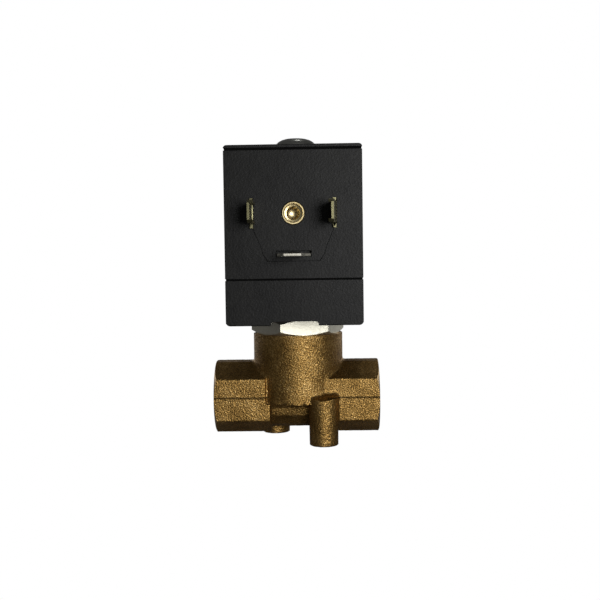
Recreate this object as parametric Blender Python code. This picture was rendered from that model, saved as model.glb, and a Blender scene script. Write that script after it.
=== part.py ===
"""Direct-acting two-way solenoid valve: brass body, plunger tube and moulded coil with tab terminals.

The origin is where the flow axis crosses the plunger axis. +X is the outlet side, the terminals
face -Y and +Z runs up the plunger tube. Dimensions are in millimetres and MM turns them to metres.
"""
import math

import bmesh
import bpy
from mathutils import Matrix, Vector

MM = 0.001
GAP = 0.3                      # clearance between pieces that rest on each other
ROUND = 36                     # sides of the large round pieces
FINE = 24                      # sides of the small round pieces

# valve body
INLET_END, OUTLET_END = -20.1, 19.5
HEX_FACE = 8.69                # flow axis to the flat front face
HEX_TOP = 8.58                 # flow axis to the flat on the upper corner
HEX_INNER = 6.6                # where the hexagonal ends stop under the tower
END_RADIUS, END_SLOPE = 8.6, 0.5
NECK_RADIUS = 7.2
TOWER_RADIUS, TOWER_FOOT, TOWER_TOP = 10.87, -1.0, 15.41
BOSS_X, BOSS_Y = 6.07, 8.56
BOSS_TOP_RADIUS, BOSS_FOOT_RADIUS = 3.45, 3.3
BOSS_FOOT, BOSS_TOP, BOSS_SLOPE = -10.72, 0.45, 0.4
BOSS_HOLE, BOSS_HOLE_DEPTH = 1.65, 7.0
PORT_RADIUS, PORT_BOTTOM, PORT_LEAD_IN = 5.9, 9.4, 1.0
CHAMBER_RADIUS, CHAMBER_FLOOR = 6.7, 2.5
BODY_BORE, BORE_STEP = 8.0, 7.3
SEAT_TOP, SEAT_OUTER, SEAT_LIP, ORIFICE = 6.5, 3.4, 2.3, 1.5
INLET_WAY_Z, OUTLET_WAY_Z, WAY_RADIUS = 3.3, -0.7, 2.1

# plunger tube
O_RING_CENTRE, O_RING_WIRE = 7.1, 0.6
TUBE_INNER, TUBE_OUTER, TUBE_FOOT, TUBE_TOP = 5.1, 5.5, 9.1, 50.5
FOOT_RADIUS, FOOT_THICK = 7.5, 0.6
BASE_AF, BASE_TURN = 19.8, 10.3
BASE_TOP, SPIGOT_RADIUS, SPIGOT_FOOT = 19.0, 7.7, 10.0
SLIDE_BORE = 5.8               # every bore that goes round the tube
CORE_RADIUS, CORE_FACE, COLLAR_TOP = 4.8, 34.0, 57.6
STUD_RADIUS, STUD_TOP = 2.9, 61.2
SHADE_INNER, SHADE_OUTER, SHADE_TOP = 3.0, 3.6, 35.2
PLUNGER_RADIUS, PLUNGER_FOOT, STROKE = 4.7, 7.2, 1.6
PLUNGER_TOP = CORE_FACE - STROKE
SEAL_RADIUS, SEAL_TOP = 2.6, 8.6
SPRING_POCKET, POCKET_FLOOR = 2.6, 20.4
SPRING_RADIUS, SPRING_WIRE, SPRING_TURNS = 2.0, 0.25, 7

# coil
COIL_HALF, COIL_FRONT, COIL_BACK = 15.0, -26.0, 16.0
COIL_FOOT, COIL_SEAM, COIL_TOP = 19.24, 29.1, 58.08
WALL, CORNER = 1.7, 0.8
RECESS_RADIUS, RECESS_DEEP, BOTTOM_GASKET = 8.9, 0.9, 0.5
NOTCH_HALF, NOTCH_HIGH, NOTCH_DEEP = 5.1, 0.9, 4.0
BLOCK_HALF, BLOCK_TOP, BLOCK_WAIST = 10.6, 47.4, 39.4
BLOCK_FOOT_HALF, BLOCK_FOOT = 5.7, 32.4
BLOCK_BACK, PLATE_BACK = -14.0, -23.6
INSERT_Z, INSERT_RADIUS, INSERT_BORE, INSERT_BACK = 43.4, 2.55, 1.25, -18.0
TAB_X, TAB_HALF, TAB_TIP, TAB_THICK = 9.0, 2.35, -36.5, 0.5
HEM_REACH, HEM_HIGH = 1.15, 0.6
SHOULDER_HALF, SHOULDER_FRONT, SHOULDER_BACK = 3.2, -26.9, -24.6
LEG_HALF, LEG_THICK, LEG_END = 1.2, 0.7, -13.2
EARTH_Z, EARTH_SHOULDER_HALF, EARTH_THICK = 34.4, 3.75, 0.7
FLANGE_RADIUS, FLANGE_THICK, BARREL_RADIUS = 12.0, 1.2, 6.8
BOBBIN_FOOT, BOBBIN_TOP = 24.5, 52.7
WIRE_INNER, WIRE_OUTER, TAPE_INNER, TAPE_OUTER = 7.1, 10.9, 11.2, 11.6
YOKE_HALF, YOKE_FRONT, YOKE_BACK, YOKE_THICK = 11.0, -12.0, 14.0, 1.7
YOKE_FOOT, YOKE_TOP, YOKE_PLATE = 21.4, 55.8, 2.8
NUT_FOOT, NUT_AF, NUT_HEX_TOP, DOME_RADIUS, DOME_FOOT, DOME_TOP = 59.8, 11.0, 60.5, 5.1, 61.2, 62.95
NUT_BORE, NUT_BORE_TOP = 3.2, 61.5


def clear_scene():
    """Remove whatever the start-up file holds."""
    for item in list(bpy.data.objects):
        bpy.data.objects.remove(item, do_unlink=True)


def finish(name, colour, roughness, metallic):
    """A plain Principled finish."""
    material = bpy.data.materials.new(name)
    material.use_nodes = True
    shader = material.node_tree.nodes["Principled BSDF"]
    shader.inputs["Base Color"].default_value = (*colour, 1.0)
    shader.inputs["Roughness"].default_value = roughness
    shader.inputs["Metallic"].default_value = metallic
    material.diffuse_color = (*colour, 1.0)
    return material


def place(name, mesh_builder, material=None):
    """Turn a bmesh into a named object, smooth on its round sides."""
    bmesh.ops.recalc_face_normals(mesh_builder, faces=mesh_builder.faces)
    mesh = bpy.data.meshes.new(name)
    mesh_builder.to_mesh(mesh)
    mesh_builder.free()
    mesh.shade_smooth()
    mesh.set_sharp_from_angle(angle=math.radians(35))
    piece = bpy.data.objects.new(name, mesh)
    bpy.context.scene.collection.objects.link(piece)
    if material is None:
        piece.hide_render = True
        piece.display_type = "WIRE"
    else:
        mesh.materials.append(material)
    return piece


def turned(name, profile, material=None, sides=ROUND, centre=(0, 0, 0), along="Z"):
    """Spin a profile of (radius, height) points about an axis through centre."""
    shape = bmesh.new()
    points = [shape.verts.new((radius * MM, 0, height * MM)) for radius, height in profile]
    lines = [shape.edges.new(pair) for pair in zip(points, points[1:])]
    if profile[0][0] > 0 or profile[-1][0] > 0:
        lines.append(shape.edges.new((points[-1], points[0])))
    bmesh.ops.spin(shape, geom=points + lines, cent=(0, 0, 0), axis=(0, 0, 1), angle=math.tau,
                   steps=sides, use_merge=True)
    bmesh.ops.remove_doubles(shape, verts=shape.verts, dist=1e-7)
    turns = {"Z": Matrix.Identity(4),
             "X": Matrix.Rotation(math.radians(90), 4, "Y"),
             "Y": Matrix.Rotation(math.radians(-90), 4, "X")}
    shift = Matrix.Translation(Vector(centre) * MM)
    bmesh.ops.transform(shape, matrix=shift @ turns[along], verts=shape.verts)
    return place(name, shape, material)


def rod(name, radius, low, high, material=None, sides=ROUND, centre=(0, 0, 0), along="Z"):
    """A plain cylinder from low to high along its axis."""
    return turned(name, [(0, low), (radius, low), (radius, high), (0, high)],
                  material, sides, centre, along)


def sleeve(name, inner, outer, low, high, material=None, sides=ROUND):
    """A round tube on the plunger axis."""
    return turned(name, [(inner, low), (outer, low), (outer, high), (inner, high)], material, sides)


def slab(name, outline, thickness, material=None):
    """Extrude a flat outline of 3-D points by a thickness vector."""
    shape = bmesh.new()
    face = shape.faces.new([shape.verts.new(Vector(point) * MM) for point in outline])
    grown = bmesh.ops.extrude_face_region(shape, geom=[face])["geom"]
    moved = [part for part in grown if isinstance(part, bmesh.types.BMVert)]
    bmesh.ops.translate(shape, vec=Vector(thickness) * MM, verts=moved)
    return place(name, shape, material)


def block(name, low, high, material=None, corner=0.0):
    """A box between two corners, with its upright edges rounded on request."""
    shape = bmesh.new()
    size = (Vector(high) - Vector(low)) * MM
    middle = (Vector(high) + Vector(low)) * MM / 2
    bmesh.ops.create_cube(shape, size=1, matrix=Matrix.Translation(middle) @ Matrix.Diagonal((*size, 1)))
    if corner:
        upright = [edge for edge in shape.edges
                   if abs(edge.verts[0].co.z - edge.verts[1].co.z) > size.z / 2]
        bmesh.ops.bevel(shape, geom=upright, offset=corner * MM, segments=3, profile=0.5,
                        affect="EDGES", material=-1)
    return place(name, shape, material)


def combine(target, tool, operation):
    """Join or cut with an exact boolean that stays live."""
    tool.hide_render = True
    tool.display_type = "WIRE"
    modifier = target.modifiers.new(tool.name, "BOOLEAN")
    modifier.operation = operation
    modifier.solver = "EXACT"
    modifier.object = tool


def add(target, *tools):
    """Unite the tools with the target."""
    for tool in tools:
        combine(target, tool, "UNION")


def cut(target, *tools):
    """Cut the tools out of the target."""
    for tool in tools:
        combine(target, tool, "DIFFERENCE")


def hexagon(across_flats, height, turn=0.0):
    """Corners of a regular hexagon about the plunger axis."""
    reach = across_flats / 2 / math.cos(math.radians(30))
    angles = [math.radians(60 * step + 30 + turn) for step in range(6)]
    return [(reach * math.cos(angle), reach * math.sin(angle), height) for angle in angles]


def port_hexagon(x):
    """Outline of a port end: flat faces front and back, the upper and lower corners cut flat."""
    side = HEX_FACE * math.tan(math.radians(30))
    corner = 2 * HEX_FACE / math.sqrt(3)
    half = (corner - HEX_TOP) * math.sqrt(3)
    quarter = [(HEX_FACE, side), (half, HEX_TOP)]
    upper = quarter + [(-y, z) for y, z in reversed(quarter)]
    lower = [(-y, -z) for y, z in upper]
    return [(x, y, z) for y, z in upper + lower]


def end_turning(name, end, inward):
    """A turned envelope that chamfers the corners of one port end."""
    reach = 3.0
    profile = [(0, 0), (END_RADIUS, 0), (END_RADIUS + reach, reach * END_SLOPE),
               (END_RADIUS + reach, 16), (0, 16)]
    return turned(name, [(radius, end + inward * step) for radius, step in profile], along="X")


def port_end(name, end, material=None):
    """One hexagonal port end with its turned chamfer."""
    inward = -math.copysign(1, end)
    inner = -inward * HEX_INNER
    outer = slab(name, port_hexagon(end), (inner - end, 0, 0), material)
    combine(outer, end_turning("turning_" + name, end, inward), "INTERSECT")
    return outer


def boss(name, side):
    """A drafted mounting boss whose top slopes up to the tower; side -1 is the front one."""
    shape = bmesh.new()
    height = BOSS_TOP - BOSS_FOOT
    bmesh.ops.create_cone(shape, cap_ends=True, segments=32, radius1=BOSS_FOOT_RADIUS * MM,
                          radius2=BOSS_TOP_RADIUS * MM, depth=height * MM)
    for vert in shape.verts:
        if vert.co.z > 0:
            vert.co.z += BOSS_SLOPE * (BOSS_TOP_RADIUS * MM - side * vert.co.y)
    middle = Vector((-side * BOSS_X, side * BOSS_Y, (BOSS_TOP + BOSS_FOOT) / 2)) * MM
    bmesh.ops.translate(shape, vec=middle, verts=shape.verts)
    return place(name, shape)


def port_bore(name, end):
    """The threaded socket of one port, with its lead-in."""
    inward = -math.copysign(1, end)
    start = end - inward * 1.0
    mouth = PORT_RADIUS + PORT_LEAD_IN
    floor = -inward * PORT_BOTTOM
    profile = [(0, start), (mouth, start), (mouth, end), (PORT_RADIUS, end + inward * PORT_LEAD_IN),
               (PORT_RADIUS, floor), (0, floor)]
    return turned(name, profile, sides=40, along="X")


def make_valve_body(brass):
    """Forged body: two port ends, neck, tower, two bosses, seat chamber and flow ways."""
    body = rod("valve_body", TOWER_RADIUS, TOWER_FOOT, TOWER_TOP, brass, sides=48)
    add(body, port_end("inlet_hexagon", INLET_END), port_end("outlet_hexagon", OUTLET_END),
        rod("neck", NECK_RADIUS, -8.0, 8.0, along="X", sides=40),
        boss("front_boss", -1), boss("rear_boss", 1))
    chamber = [(0, SEAT_TOP), (SEAT_LIP, SEAT_TOP), (SEAT_OUTER, SEAT_TOP - 1.4),
               (SEAT_OUTER, CHAMBER_FLOOR), (CHAMBER_RADIUS, CHAMBER_FLOOR),
               (CHAMBER_RADIUS, BORE_STEP), (BODY_BORE, BORE_STEP),
               (BODY_BORE, TOWER_TOP + 1), (0, TOWER_TOP + 1)]
    cut(body, turned("chamber", chamber),
        port_bore("inlet_socket", INLET_END), port_bore("outlet_socket", OUTLET_END),
        rod("orifice", ORIFICE, OUTLET_WAY_Z, SEAT_TOP + 1, sides=24),
        rod("inlet_way", WAY_RADIUS, -PORT_BOTTOM - 1, -SEAT_OUTER - 0.8, sides=24,
            centre=(0, 0, INLET_WAY_Z), along="X"),
        rod("outlet_way", WAY_RADIUS, -ORIFICE, PORT_BOTTOM + 1, sides=24,
            centre=(0, 0, OUTLET_WAY_Z), along="X"))
    for side, name in ((-1, "front_boss_hole"), (1, "rear_boss_hole")):
        cut(body, rod(name, BOSS_HOLE, BOSS_FOOT - 1, BOSS_FOOT + BOSS_HOLE_DEPTH, sides=20,
                      centre=(-side * BOSS_X, side * BOSS_Y, 0)))
    return body


def make_tube(steel, iron, copper, rubber):
    """The sealed tube that the plunger runs in, its base, its fixed core and its seal."""
    ring = bmesh.new()
    circle = bmesh.ops.create_circle(ring, segments=12, radius=O_RING_WIRE * MM)["verts"]
    stand = (Matrix.Translation((O_RING_CENTRE * MM, 0, (BORE_STEP + GAP + O_RING_WIRE) * MM))
             @ Matrix.Rotation(math.radians(90), 4, "X"))
    bmesh.ops.transform(ring, matrix=stand, verts=circle)
    bmesh.ops.spin(ring, geom=ring.verts[:] + ring.edges[:], cent=(0, 0, 0), axis=(0, 0, 1),
                   angle=math.tau, steps=ROUND, use_merge=True)
    place("body_o_ring", ring, rubber)

    base = slab("tube_base", hexagon(BASE_AF, TOWER_TOP + GAP, BASE_TURN),
                (0, 0, BASE_TOP - TOWER_TOP - GAP), steel)
    combine(base, turned("base_turning", [
        (0, TOWER_TOP), (BASE_AF / 2 - 0.4, TOWER_TOP), (BASE_AF / 2 + 2, TOWER_TOP + 1.4),
        (BASE_AF / 2 + 2, BASE_TOP - 1.4), (BASE_AF / 2 - 0.4, BASE_TOP), (0, BASE_TOP)]),
        "INTERSECT")
    add(base, rod("spigot", SPIGOT_RADIUS, SPIGOT_FOOT, TOWER_TOP + 1))
    cut(base, rod("base_bore", SLIDE_BORE, SPIGOT_FOOT - 1, BASE_TOP + 1))

    turned("guide_tube", [(TUBE_INNER, TUBE_FOOT), (FOOT_RADIUS, TUBE_FOOT),
                          (FOOT_RADIUS, TUBE_FOOT + FOOT_THICK), (TUBE_OUTER, TUBE_FOOT + FOOT_THICK),
                          (TUBE_OUTER, TUBE_TOP), (TUBE_INNER, TUBE_TOP)], steel)

    groove_in, groove_out = SHADE_INNER - GAP, SHADE_OUTER + GAP
    turned("fixed_core", [
        (0, CORE_FACE), (groove_in, CORE_FACE), (groove_in, SHADE_TOP + GAP),
        (groove_out, SHADE_TOP + GAP), (groove_out, CORE_FACE), (CORE_RADIUS, CORE_FACE),
        (CORE_RADIUS, TUBE_TOP + GAP), (TUBE_OUTER, TUBE_TOP + GAP), (TUBE_OUTER, COLLAR_TOP),
        (STUD_RADIUS, COLLAR_TOP), (STUD_RADIUS, STUD_TOP - 0.5), (STUD_RADIUS - 0.5, STUD_TOP),
        (0, STUD_TOP)], iron)
    sleeve("shading_ring", SHADE_INNER, SHADE_OUTER, CORE_FACE + 0.1, SHADE_TOP, copper, sides=FINE)


def make_plunger(iron, steel, rubber):
    """The plunger with its flutes and seal, and the spring that closes it."""
    plunger = turned("plunger", [
        (0, SEAL_TOP + GAP), (SEAL_RADIUS + GAP, SEAL_TOP + GAP), (SEAL_RADIUS + GAP, PLUNGER_FOOT),
        (PLUNGER_RADIUS - 0.6, PLUNGER_FOOT), (PLUNGER_RADIUS, PLUNGER_FOOT + 0.6),
        (PLUNGER_RADIUS, PLUNGER_TOP - 0.3), (PLUNGER_RADIUS - 0.3, PLUNGER_TOP),
        (SPRING_POCKET, PLUNGER_TOP), (SPRING_POCKET, POCKET_FLOOR), (0, POCKET_FLOOR)], iron)
    for step in range(4):
        angle = math.radians(45 + 90 * step)
        cut(plunger, rod(f"flute_{step + 1}", 0.7, PLUNGER_FOOT - 1, PLUNGER_TOP + 1, sides=10,
                         centre=(PLUNGER_RADIUS * math.cos(angle), PLUNGER_RADIUS * math.sin(angle), 0)))
    rod("plunger_seal", SEAL_RADIUS, SEAT_TOP + GAP, SEAL_TOP, rubber, sides=FINE)

    low = POCKET_FLOOR + GAP + SPRING_WIRE
    high = CORE_FACE - GAP - SPRING_WIRE
    steps = SPRING_TURNS * 12
    path = [(SPRING_RADIUS * math.cos(math.tau * SPRING_TURNS * step / steps),
             SPRING_RADIUS * math.sin(math.tau * SPRING_TURNS * step / steps),
             low + (high - low) * step / steps) for step in range(steps + 1)]
    wire("return_spring", path, SPRING_WIRE, steel)


def wire(name, path, radius, material):
    """A round wire along a path of points."""
    shape = bmesh.new()
    rings = []
    points = [Vector(point) for point in path]
    side = Vector((0, 0, 1))
    for place_along, point in enumerate(points):
        before = points[max(place_along - 1, 0)]
        after = points[min(place_along + 1, len(points) - 1)]
        heading = (after - before).normalized()
        side = (side - heading * side.dot(heading)).normalized()
        other = heading.cross(side)
        turns = [math.tau * step / 6 for step in range(6)]
        rings.append([shape.verts.new((point + (side * math.cos(turn) + other * math.sin(turn)) * radius) * MM)
                      for turn in turns])
    for first, second in zip(rings, rings[1:]):
        for step in range(6):
            following = (step + 1) % 6
            shape.faces.new((first[step], first[following], second[following], second[step]))
    shape.faces.new(rings[0])
    shape.faces.new(rings[-1])
    return place(name, shape, material)


def block_outline(y, grow=0.0):
    """Face outline of the terminal block: square above, drawn in to the earth tab below."""
    half, foot = BLOCK_HALF + grow, BLOCK_FOOT_HALF + grow
    right = [(half, y, BLOCK_TOP + grow), (half, y, BLOCK_WAIST), (foot, y, BLOCK_FOOT - grow)]
    return right + [(-x, y, z) for x, y, z in reversed(right)]


def make_casing(plastic):
    """The moulded coil casing, its separate base and the terminal block in its front window."""
    low = (-COIL_HALF, COIL_FRONT, COIL_FOOT)
    high = (COIL_HALF, COIL_BACK, COIL_TOP)
    inner_low = (-COIL_HALF + WALL, COIL_FRONT + WALL, COIL_FOOT + WALL)
    inner_high = (COIL_HALF - WALL, COIL_BACK - WALL, COIL_TOP - WALL)
    half_gap = GAP / 2

    casing = block("coil_casing", (low[0], low[1], COIL_SEAM + half_gap), high, plastic, CORNER)
    cut(casing, block("casing_hollow", (inner_low[0], inner_low[1], COIL_SEAM - 1), inner_high),
        rod("casing_bore", SLIDE_BORE, COIL_TOP - WALL - 1, COIL_TOP + 1),
        slab("casing_window", block_outline(COIL_FRONT - 1, GAP), (0, WALL + 2, 0)))

    cover = block("coil_base_cover", low, (high[0], high[1], COIL_SEAM - half_gap), plastic, CORNER)
    cut(cover, block("cover_hollow", inner_low, (inner_high[0], inner_high[1], COIL_SEAM + 1)),
        rod("cover_bore", SLIDE_BORE, COIL_FOOT - 1, COIL_FOOT + WALL + 1),
        rod("gasket_recess", RECESS_RADIUS, COIL_FOOT - 1, COIL_FOOT + RECESS_DEEP),
        block("cover_notch", (-NOTCH_HALF, COIL_FRONT - 1, COIL_FOOT - 1),
              (NOTCH_HALF, COIL_FRONT + NOTCH_DEEP, COIL_FOOT + NOTCH_HIGH)))

    holder = slab("terminal_block", block_outline(COIL_FRONT), (0, PLATE_BACK - COIL_FRONT, 0), plastic)
    add(holder, block("holder_back", (-BLOCK_HALF + 0.5, PLATE_BACK - 0.5, BLOCK_FOOT + 0.5),
                      (BLOCK_HALF - 0.5, BLOCK_BACK, BLOCK_TOP - 0.5)))
    cut(holder, rod("insert_seat", INSERT_RADIUS + GAP, COIL_FRONT - 1, INSERT_BACK + GAP, sides=FINE,
                    centre=(0, 0, INSERT_Z), along="Y"))
    for side, name in ((-1, "left"), (1, "right")):
        middle = side * TAB_X
        half = LEG_THICK / 2 + GAP
        tall = SHOULDER_HALF + GAP
        leg = LEG_HALF + GAP
        cut(holder, block(f"{name}_shoulder_slot", (middle - half, COIL_FRONT - 1, INSERT_Z - tall),
                          (middle + half, SHOULDER_BACK + GAP, INSERT_Z + tall)),
            block(f"{name}_leg_slot", (middle - half, COIL_FRONT - 1, INSERT_Z - leg),
                  (middle + half, BLOCK_BACK + 1, INSERT_Z + leg)))
    half = EARTH_THICK / 2 + GAP
    wide = EARTH_SHOULDER_HALF + GAP
    leg = LEG_HALF + GAP
    cut(holder, block("earth_shoulder_slot", (-wide, COIL_FRONT - 1, EARTH_Z - half),
                      (wide, SHOULDER_BACK + GAP, EARTH_Z + half)),
        block("earth_leg_slot", (-leg, COIL_FRONT - 1, EARTH_Z - half),
              (leg, BLOCK_BACK + 1, EARTH_Z + half)))


def make_terminals(tin, brass, copper):
    """Two hemmed line tabs, the flat earth tab with its strap, the screw insert and the leads."""
    for side, name in ((-1, "left"), (1, "right")):
        outer = side * (TAB_X + 0.2)
        web = outer - side * TAB_THICK
        hem = outer - side * HEM_REACH
        low, high = INSERT_Z - TAB_HALF, INSERT_Z + TAB_HALF
        section = [(outer, low), (hem, low), (hem, low + HEM_HIGH), (web, low + HEM_HIGH),
                   (web, high - HEM_HIGH), (hem, high - HEM_HIGH), (hem, high), (outer, high)]
        tab = slab(f"terminal_{name}", [(x, TAB_TIP, z) for x, z in section],
                   (0, SHOULDER_FRONT + 0.4 - TAB_TIP, 0), tin)
        middle = side * TAB_X
        half = LEG_THICK / 2
        add(tab, block(f"{name}_shoulder", (middle - half, SHOULDER_FRONT, INSERT_Z - SHOULDER_HALF),
                       (middle + half, SHOULDER_BACK, INSERT_Z + SHOULDER_HALF)),
            block(f"{name}_leg", (middle - half, SHOULDER_BACK - 1, INSERT_Z - LEG_HALF),
                  (middle + half, LEG_END, INSERT_Z + LEG_HALF)))
        start = LEG_END + GAP
        wire(f"lead_{name}", [(middle, start, INSERT_Z), (side * 9.6, start + 1.4, INSERT_Z + 1.2),
                              (side * 10.0, start + 2.9, INSERT_Z + 3.0),
                              (side * 9.7, start + 4.2, INSERT_Z + 4.8),
                              (side * 9.4, start + 4.9, INSERT_Z + 6.6)], 0.35, copper)

    low, high = EARTH_Z - EARTH_THICK / 2, EARTH_Z + EARTH_THICK / 2
    chamfer = 0.7
    outline = [(-TAB_HALF + chamfer, TAB_TIP), (TAB_HALF - chamfer, TAB_TIP),
               (TAB_HALF, TAB_TIP + 1.2), (TAB_HALF, SHOULDER_FRONT),
               (EARTH_SHOULDER_HALF, SHOULDER_FRONT), (EARTH_SHOULDER_HALF, SHOULDER_BACK),
               (LEG_HALF, SHOULDER_BACK), (LEG_HALF, LEG_END),
               (-LEG_HALF, LEG_END), (-LEG_HALF, SHOULDER_BACK),
               (-EARTH_SHOULDER_HALF, SHOULDER_BACK), (-EARTH_SHOULDER_HALF, SHOULDER_FRONT),
               (-TAB_HALF, SHOULDER_FRONT), (-TAB_HALF, TAB_TIP + 1.2)]
    slab("earth_terminal", [(x, y, low) for x, y in outline], (0, 0, high - low), tin)
    block("earth_strap", (-1.5, LEG_END + GAP, YOKE_FOOT + 0.2), (1.5, YOKE_FRONT - GAP, EARTH_Z + 1.2), tin)
    turned("connector_insert", [
        (INSERT_BORE, COIL_FRONT + 0.5), (INSERT_BORE + 0.6, COIL_FRONT - 0.1),
        (INSERT_RADIUS - 0.2, COIL_FRONT - 0.1), (INSERT_RADIUS, COIL_FRONT + 0.1),
        (INSERT_RADIUS, INSERT_BACK), (INSERT_BORE, INSERT_BACK)],
        brass, sides=FINE, centre=(0, 0, INSERT_Z), along="Y")


def make_winding(nylon, copper, tape, steel):
    """Bobbin, winding and tape, inside the C-shaped yoke."""
    turned("bobbin", [
        (SLIDE_BORE, BOBBIN_FOOT), (FLANGE_RADIUS, BOBBIN_FOOT),
        (FLANGE_RADIUS, BOBBIN_FOOT + FLANGE_THICK), (BARREL_RADIUS, BOBBIN_FOOT + FLANGE_THICK),
        (BARREL_RADIUS, BOBBIN_TOP - FLANGE_THICK), (FLANGE_RADIUS, BOBBIN_TOP - FLANGE_THICK),
        (FLANGE_RADIUS, BOBBIN_TOP), (SLIDE_BORE, BOBBIN_TOP)], nylon)
    low, high = BOBBIN_FOOT + FLANGE_THICK + GAP, BOBBIN_TOP - FLANGE_THICK - GAP
    sleeve("winding", WIRE_INNER, WIRE_OUTER, low, high, copper)
    sleeve("winding_tape", TAPE_INNER, TAPE_OUTER, low, high, tape)

    outline = [(YOKE_FRONT, YOKE_FOOT), (YOKE_BACK, YOKE_FOOT), (YOKE_BACK, YOKE_TOP),
               (YOKE_FRONT, YOKE_TOP), (YOKE_FRONT, YOKE_TOP - YOKE_PLATE),
               (YOKE_BACK - YOKE_THICK, YOKE_TOP - YOKE_PLATE),
               (YOKE_BACK - YOKE_THICK, YOKE_FOOT + YOKE_PLATE), (YOKE_FRONT, YOKE_FOOT + YOKE_PLATE)]
    yoke = slab("yoke", [(-YOKE_HALF, y, z) for y, z in outline], (2 * YOKE_HALF, 0, 0), steel)
    cut(yoke, rod("yoke_bore", SLIDE_BORE, YOKE_FOOT - 1, YOKE_TOP + 1))


def make_fastening(rubber, steel):
    """Gaskets above and below the coil, the washer and the domed nut on the stud."""
    sleeve("coil_bottom_gasket", SLIDE_BORE, RECESS_RADIUS - GAP, BASE_TOP + GAP,
           BASE_TOP + GAP + BOTTOM_GASKET, rubber)
    sleeve("coil_top_gasket", STUD_RADIUS + 0.4, 7.8, COIL_TOP + 0.25, COIL_TOP + 0.75, rubber, sides=36)
    sleeve("spring_washer", STUD_RADIUS + 0.4, 6.0, COIL_TOP + 1.0, COIL_TOP + 1.5, steel, sides=36)

    steps = 8
    rise = DOME_TOP - DOME_FOOT
    dome = [(DOME_RADIUS * math.cos(math.pi / 2 * step / steps),
             DOME_FOOT + rise * math.sin(math.pi / 2 * step / steps)) for step in range(steps)]
    nut = turned("coil_nut", [(0, NUT_FOOT), (DOME_RADIUS, NUT_FOOT)] + dome + [(0, DOME_TOP)], steel)
    add(nut, slab("nut_hexagon", hexagon(NUT_AF, NUT_FOOT, 8), (0, 0, NUT_HEX_TOP - NUT_FOOT)))
    cut(nut, rod("nut_bore", NUT_BORE, NUT_FOOT - 1, NUT_BORE_TOP, sides=FINE))


def mark_axis(name, position):
    """An empty on a joint's axis."""
    mark = bpy.data.objects.new(name, None)
    mark.location = Vector(position) * MM
    mark.empty_display_size = 0.01
    bpy.context.scene.collection.objects.link(mark)
    return mark


def main():
    """Build the whole valve."""
    clear_scene()
    forged = finish("forged_brass", (0.24, 0.15, 0.06), 0.5, 0.9)
    turned_brass = finish("turned_brass", (0.65, 0.45, 0.17), 0.25, 1.0)
    steel = finish("stainless_steel", (0.62, 0.61, 0.58), 0.28, 1.0)
    iron = finish("magnetic_steel", (0.45, 0.45, 0.46), 0.35, 1.0)
    zinc = finish("zinc_plated_steel", (0.55, 0.56, 0.58), 0.35, 1.0)
    plastic = finish("black_moulding", (0.022, 0.022, 0.022), 0.55, 0.0)
    nylon = finish("bobbin_nylon", (0.55, 0.53, 0.48), 0.5, 0.0)
    tape = finish("winding_tape", (0.65, 0.5, 0.08), 0.4, 0.0)
    tin = finish("tinned_brass", (0.6, 0.57, 0.45), 0.3, 1.0)
    copper = finish("copper", (0.7, 0.3, 0.15), 0.3, 1.0)
    rubber = finish("seal_rubber", (0.02, 0.02, 0.02), 0.7, 0.0)

    make_valve_body(forged)
    make_tube(steel, iron, copper, rubber)
    make_plunger(iron, steel, rubber)
    make_casing(plastic)
    make_terminals(tin, turned_brass, copper)
    make_winding(nylon, copper, tape, zinc)
    make_fastening(rubber, steel)

    lift = mark_axis("plunger_lift_axis", (0, 0, PLUNGER_FOOT))
    for name in ("plunger", "plunger_seal"):
        bpy.data.objects[name].parent = lift
        bpy.data.objects[name].matrix_parent_inverse = Matrix.Translation(-lift.location)
    mark_axis("coil_swivel_axis", (0, 0, COIL_FOOT))


main()
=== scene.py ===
"""Looks of a direct-acting solenoid valve: forged brass body, steel tube base and moulded coil.

Sizes inside the classes are millimetres in the frame's axes: +X outlet, -Y terminals, +Z up the tube.
"""

import logging
import math
from collections.abc import Iterable, Sequence
from dataclasses import dataclass, field
from enum import Enum

import bmesh
import bpy
from mathutils import Matrix, Vector, noise


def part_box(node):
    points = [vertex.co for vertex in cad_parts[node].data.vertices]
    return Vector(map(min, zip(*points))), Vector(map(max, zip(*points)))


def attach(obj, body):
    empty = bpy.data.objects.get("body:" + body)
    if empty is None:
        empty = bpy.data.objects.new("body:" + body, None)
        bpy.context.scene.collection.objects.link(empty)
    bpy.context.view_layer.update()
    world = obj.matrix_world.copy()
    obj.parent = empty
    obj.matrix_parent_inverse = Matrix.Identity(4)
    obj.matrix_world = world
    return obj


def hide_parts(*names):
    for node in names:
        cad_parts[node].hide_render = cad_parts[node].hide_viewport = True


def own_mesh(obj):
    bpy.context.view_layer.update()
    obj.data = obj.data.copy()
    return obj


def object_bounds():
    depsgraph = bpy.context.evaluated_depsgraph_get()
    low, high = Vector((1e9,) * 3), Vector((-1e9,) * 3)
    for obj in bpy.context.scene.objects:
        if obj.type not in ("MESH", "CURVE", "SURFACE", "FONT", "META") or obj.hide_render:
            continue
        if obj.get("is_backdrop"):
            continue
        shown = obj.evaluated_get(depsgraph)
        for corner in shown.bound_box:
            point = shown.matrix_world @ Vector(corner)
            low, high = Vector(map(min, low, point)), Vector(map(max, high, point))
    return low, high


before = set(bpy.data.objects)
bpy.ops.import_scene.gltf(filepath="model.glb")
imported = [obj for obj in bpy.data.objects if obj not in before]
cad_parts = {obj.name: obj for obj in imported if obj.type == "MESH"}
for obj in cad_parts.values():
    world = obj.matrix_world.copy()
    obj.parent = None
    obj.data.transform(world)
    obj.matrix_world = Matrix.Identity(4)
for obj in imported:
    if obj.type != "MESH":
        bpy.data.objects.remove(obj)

LOG = logging.getLogger("solenoid_valve")
MM = 0.001
MERGE = 1e-7  # metres within which two vertices are one
CREASE = math.radians(40)  # a box edge flatter than this is already part of a round
SPAN = 0.4  # an edge longer than this share of the box's side runs along that side
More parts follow.
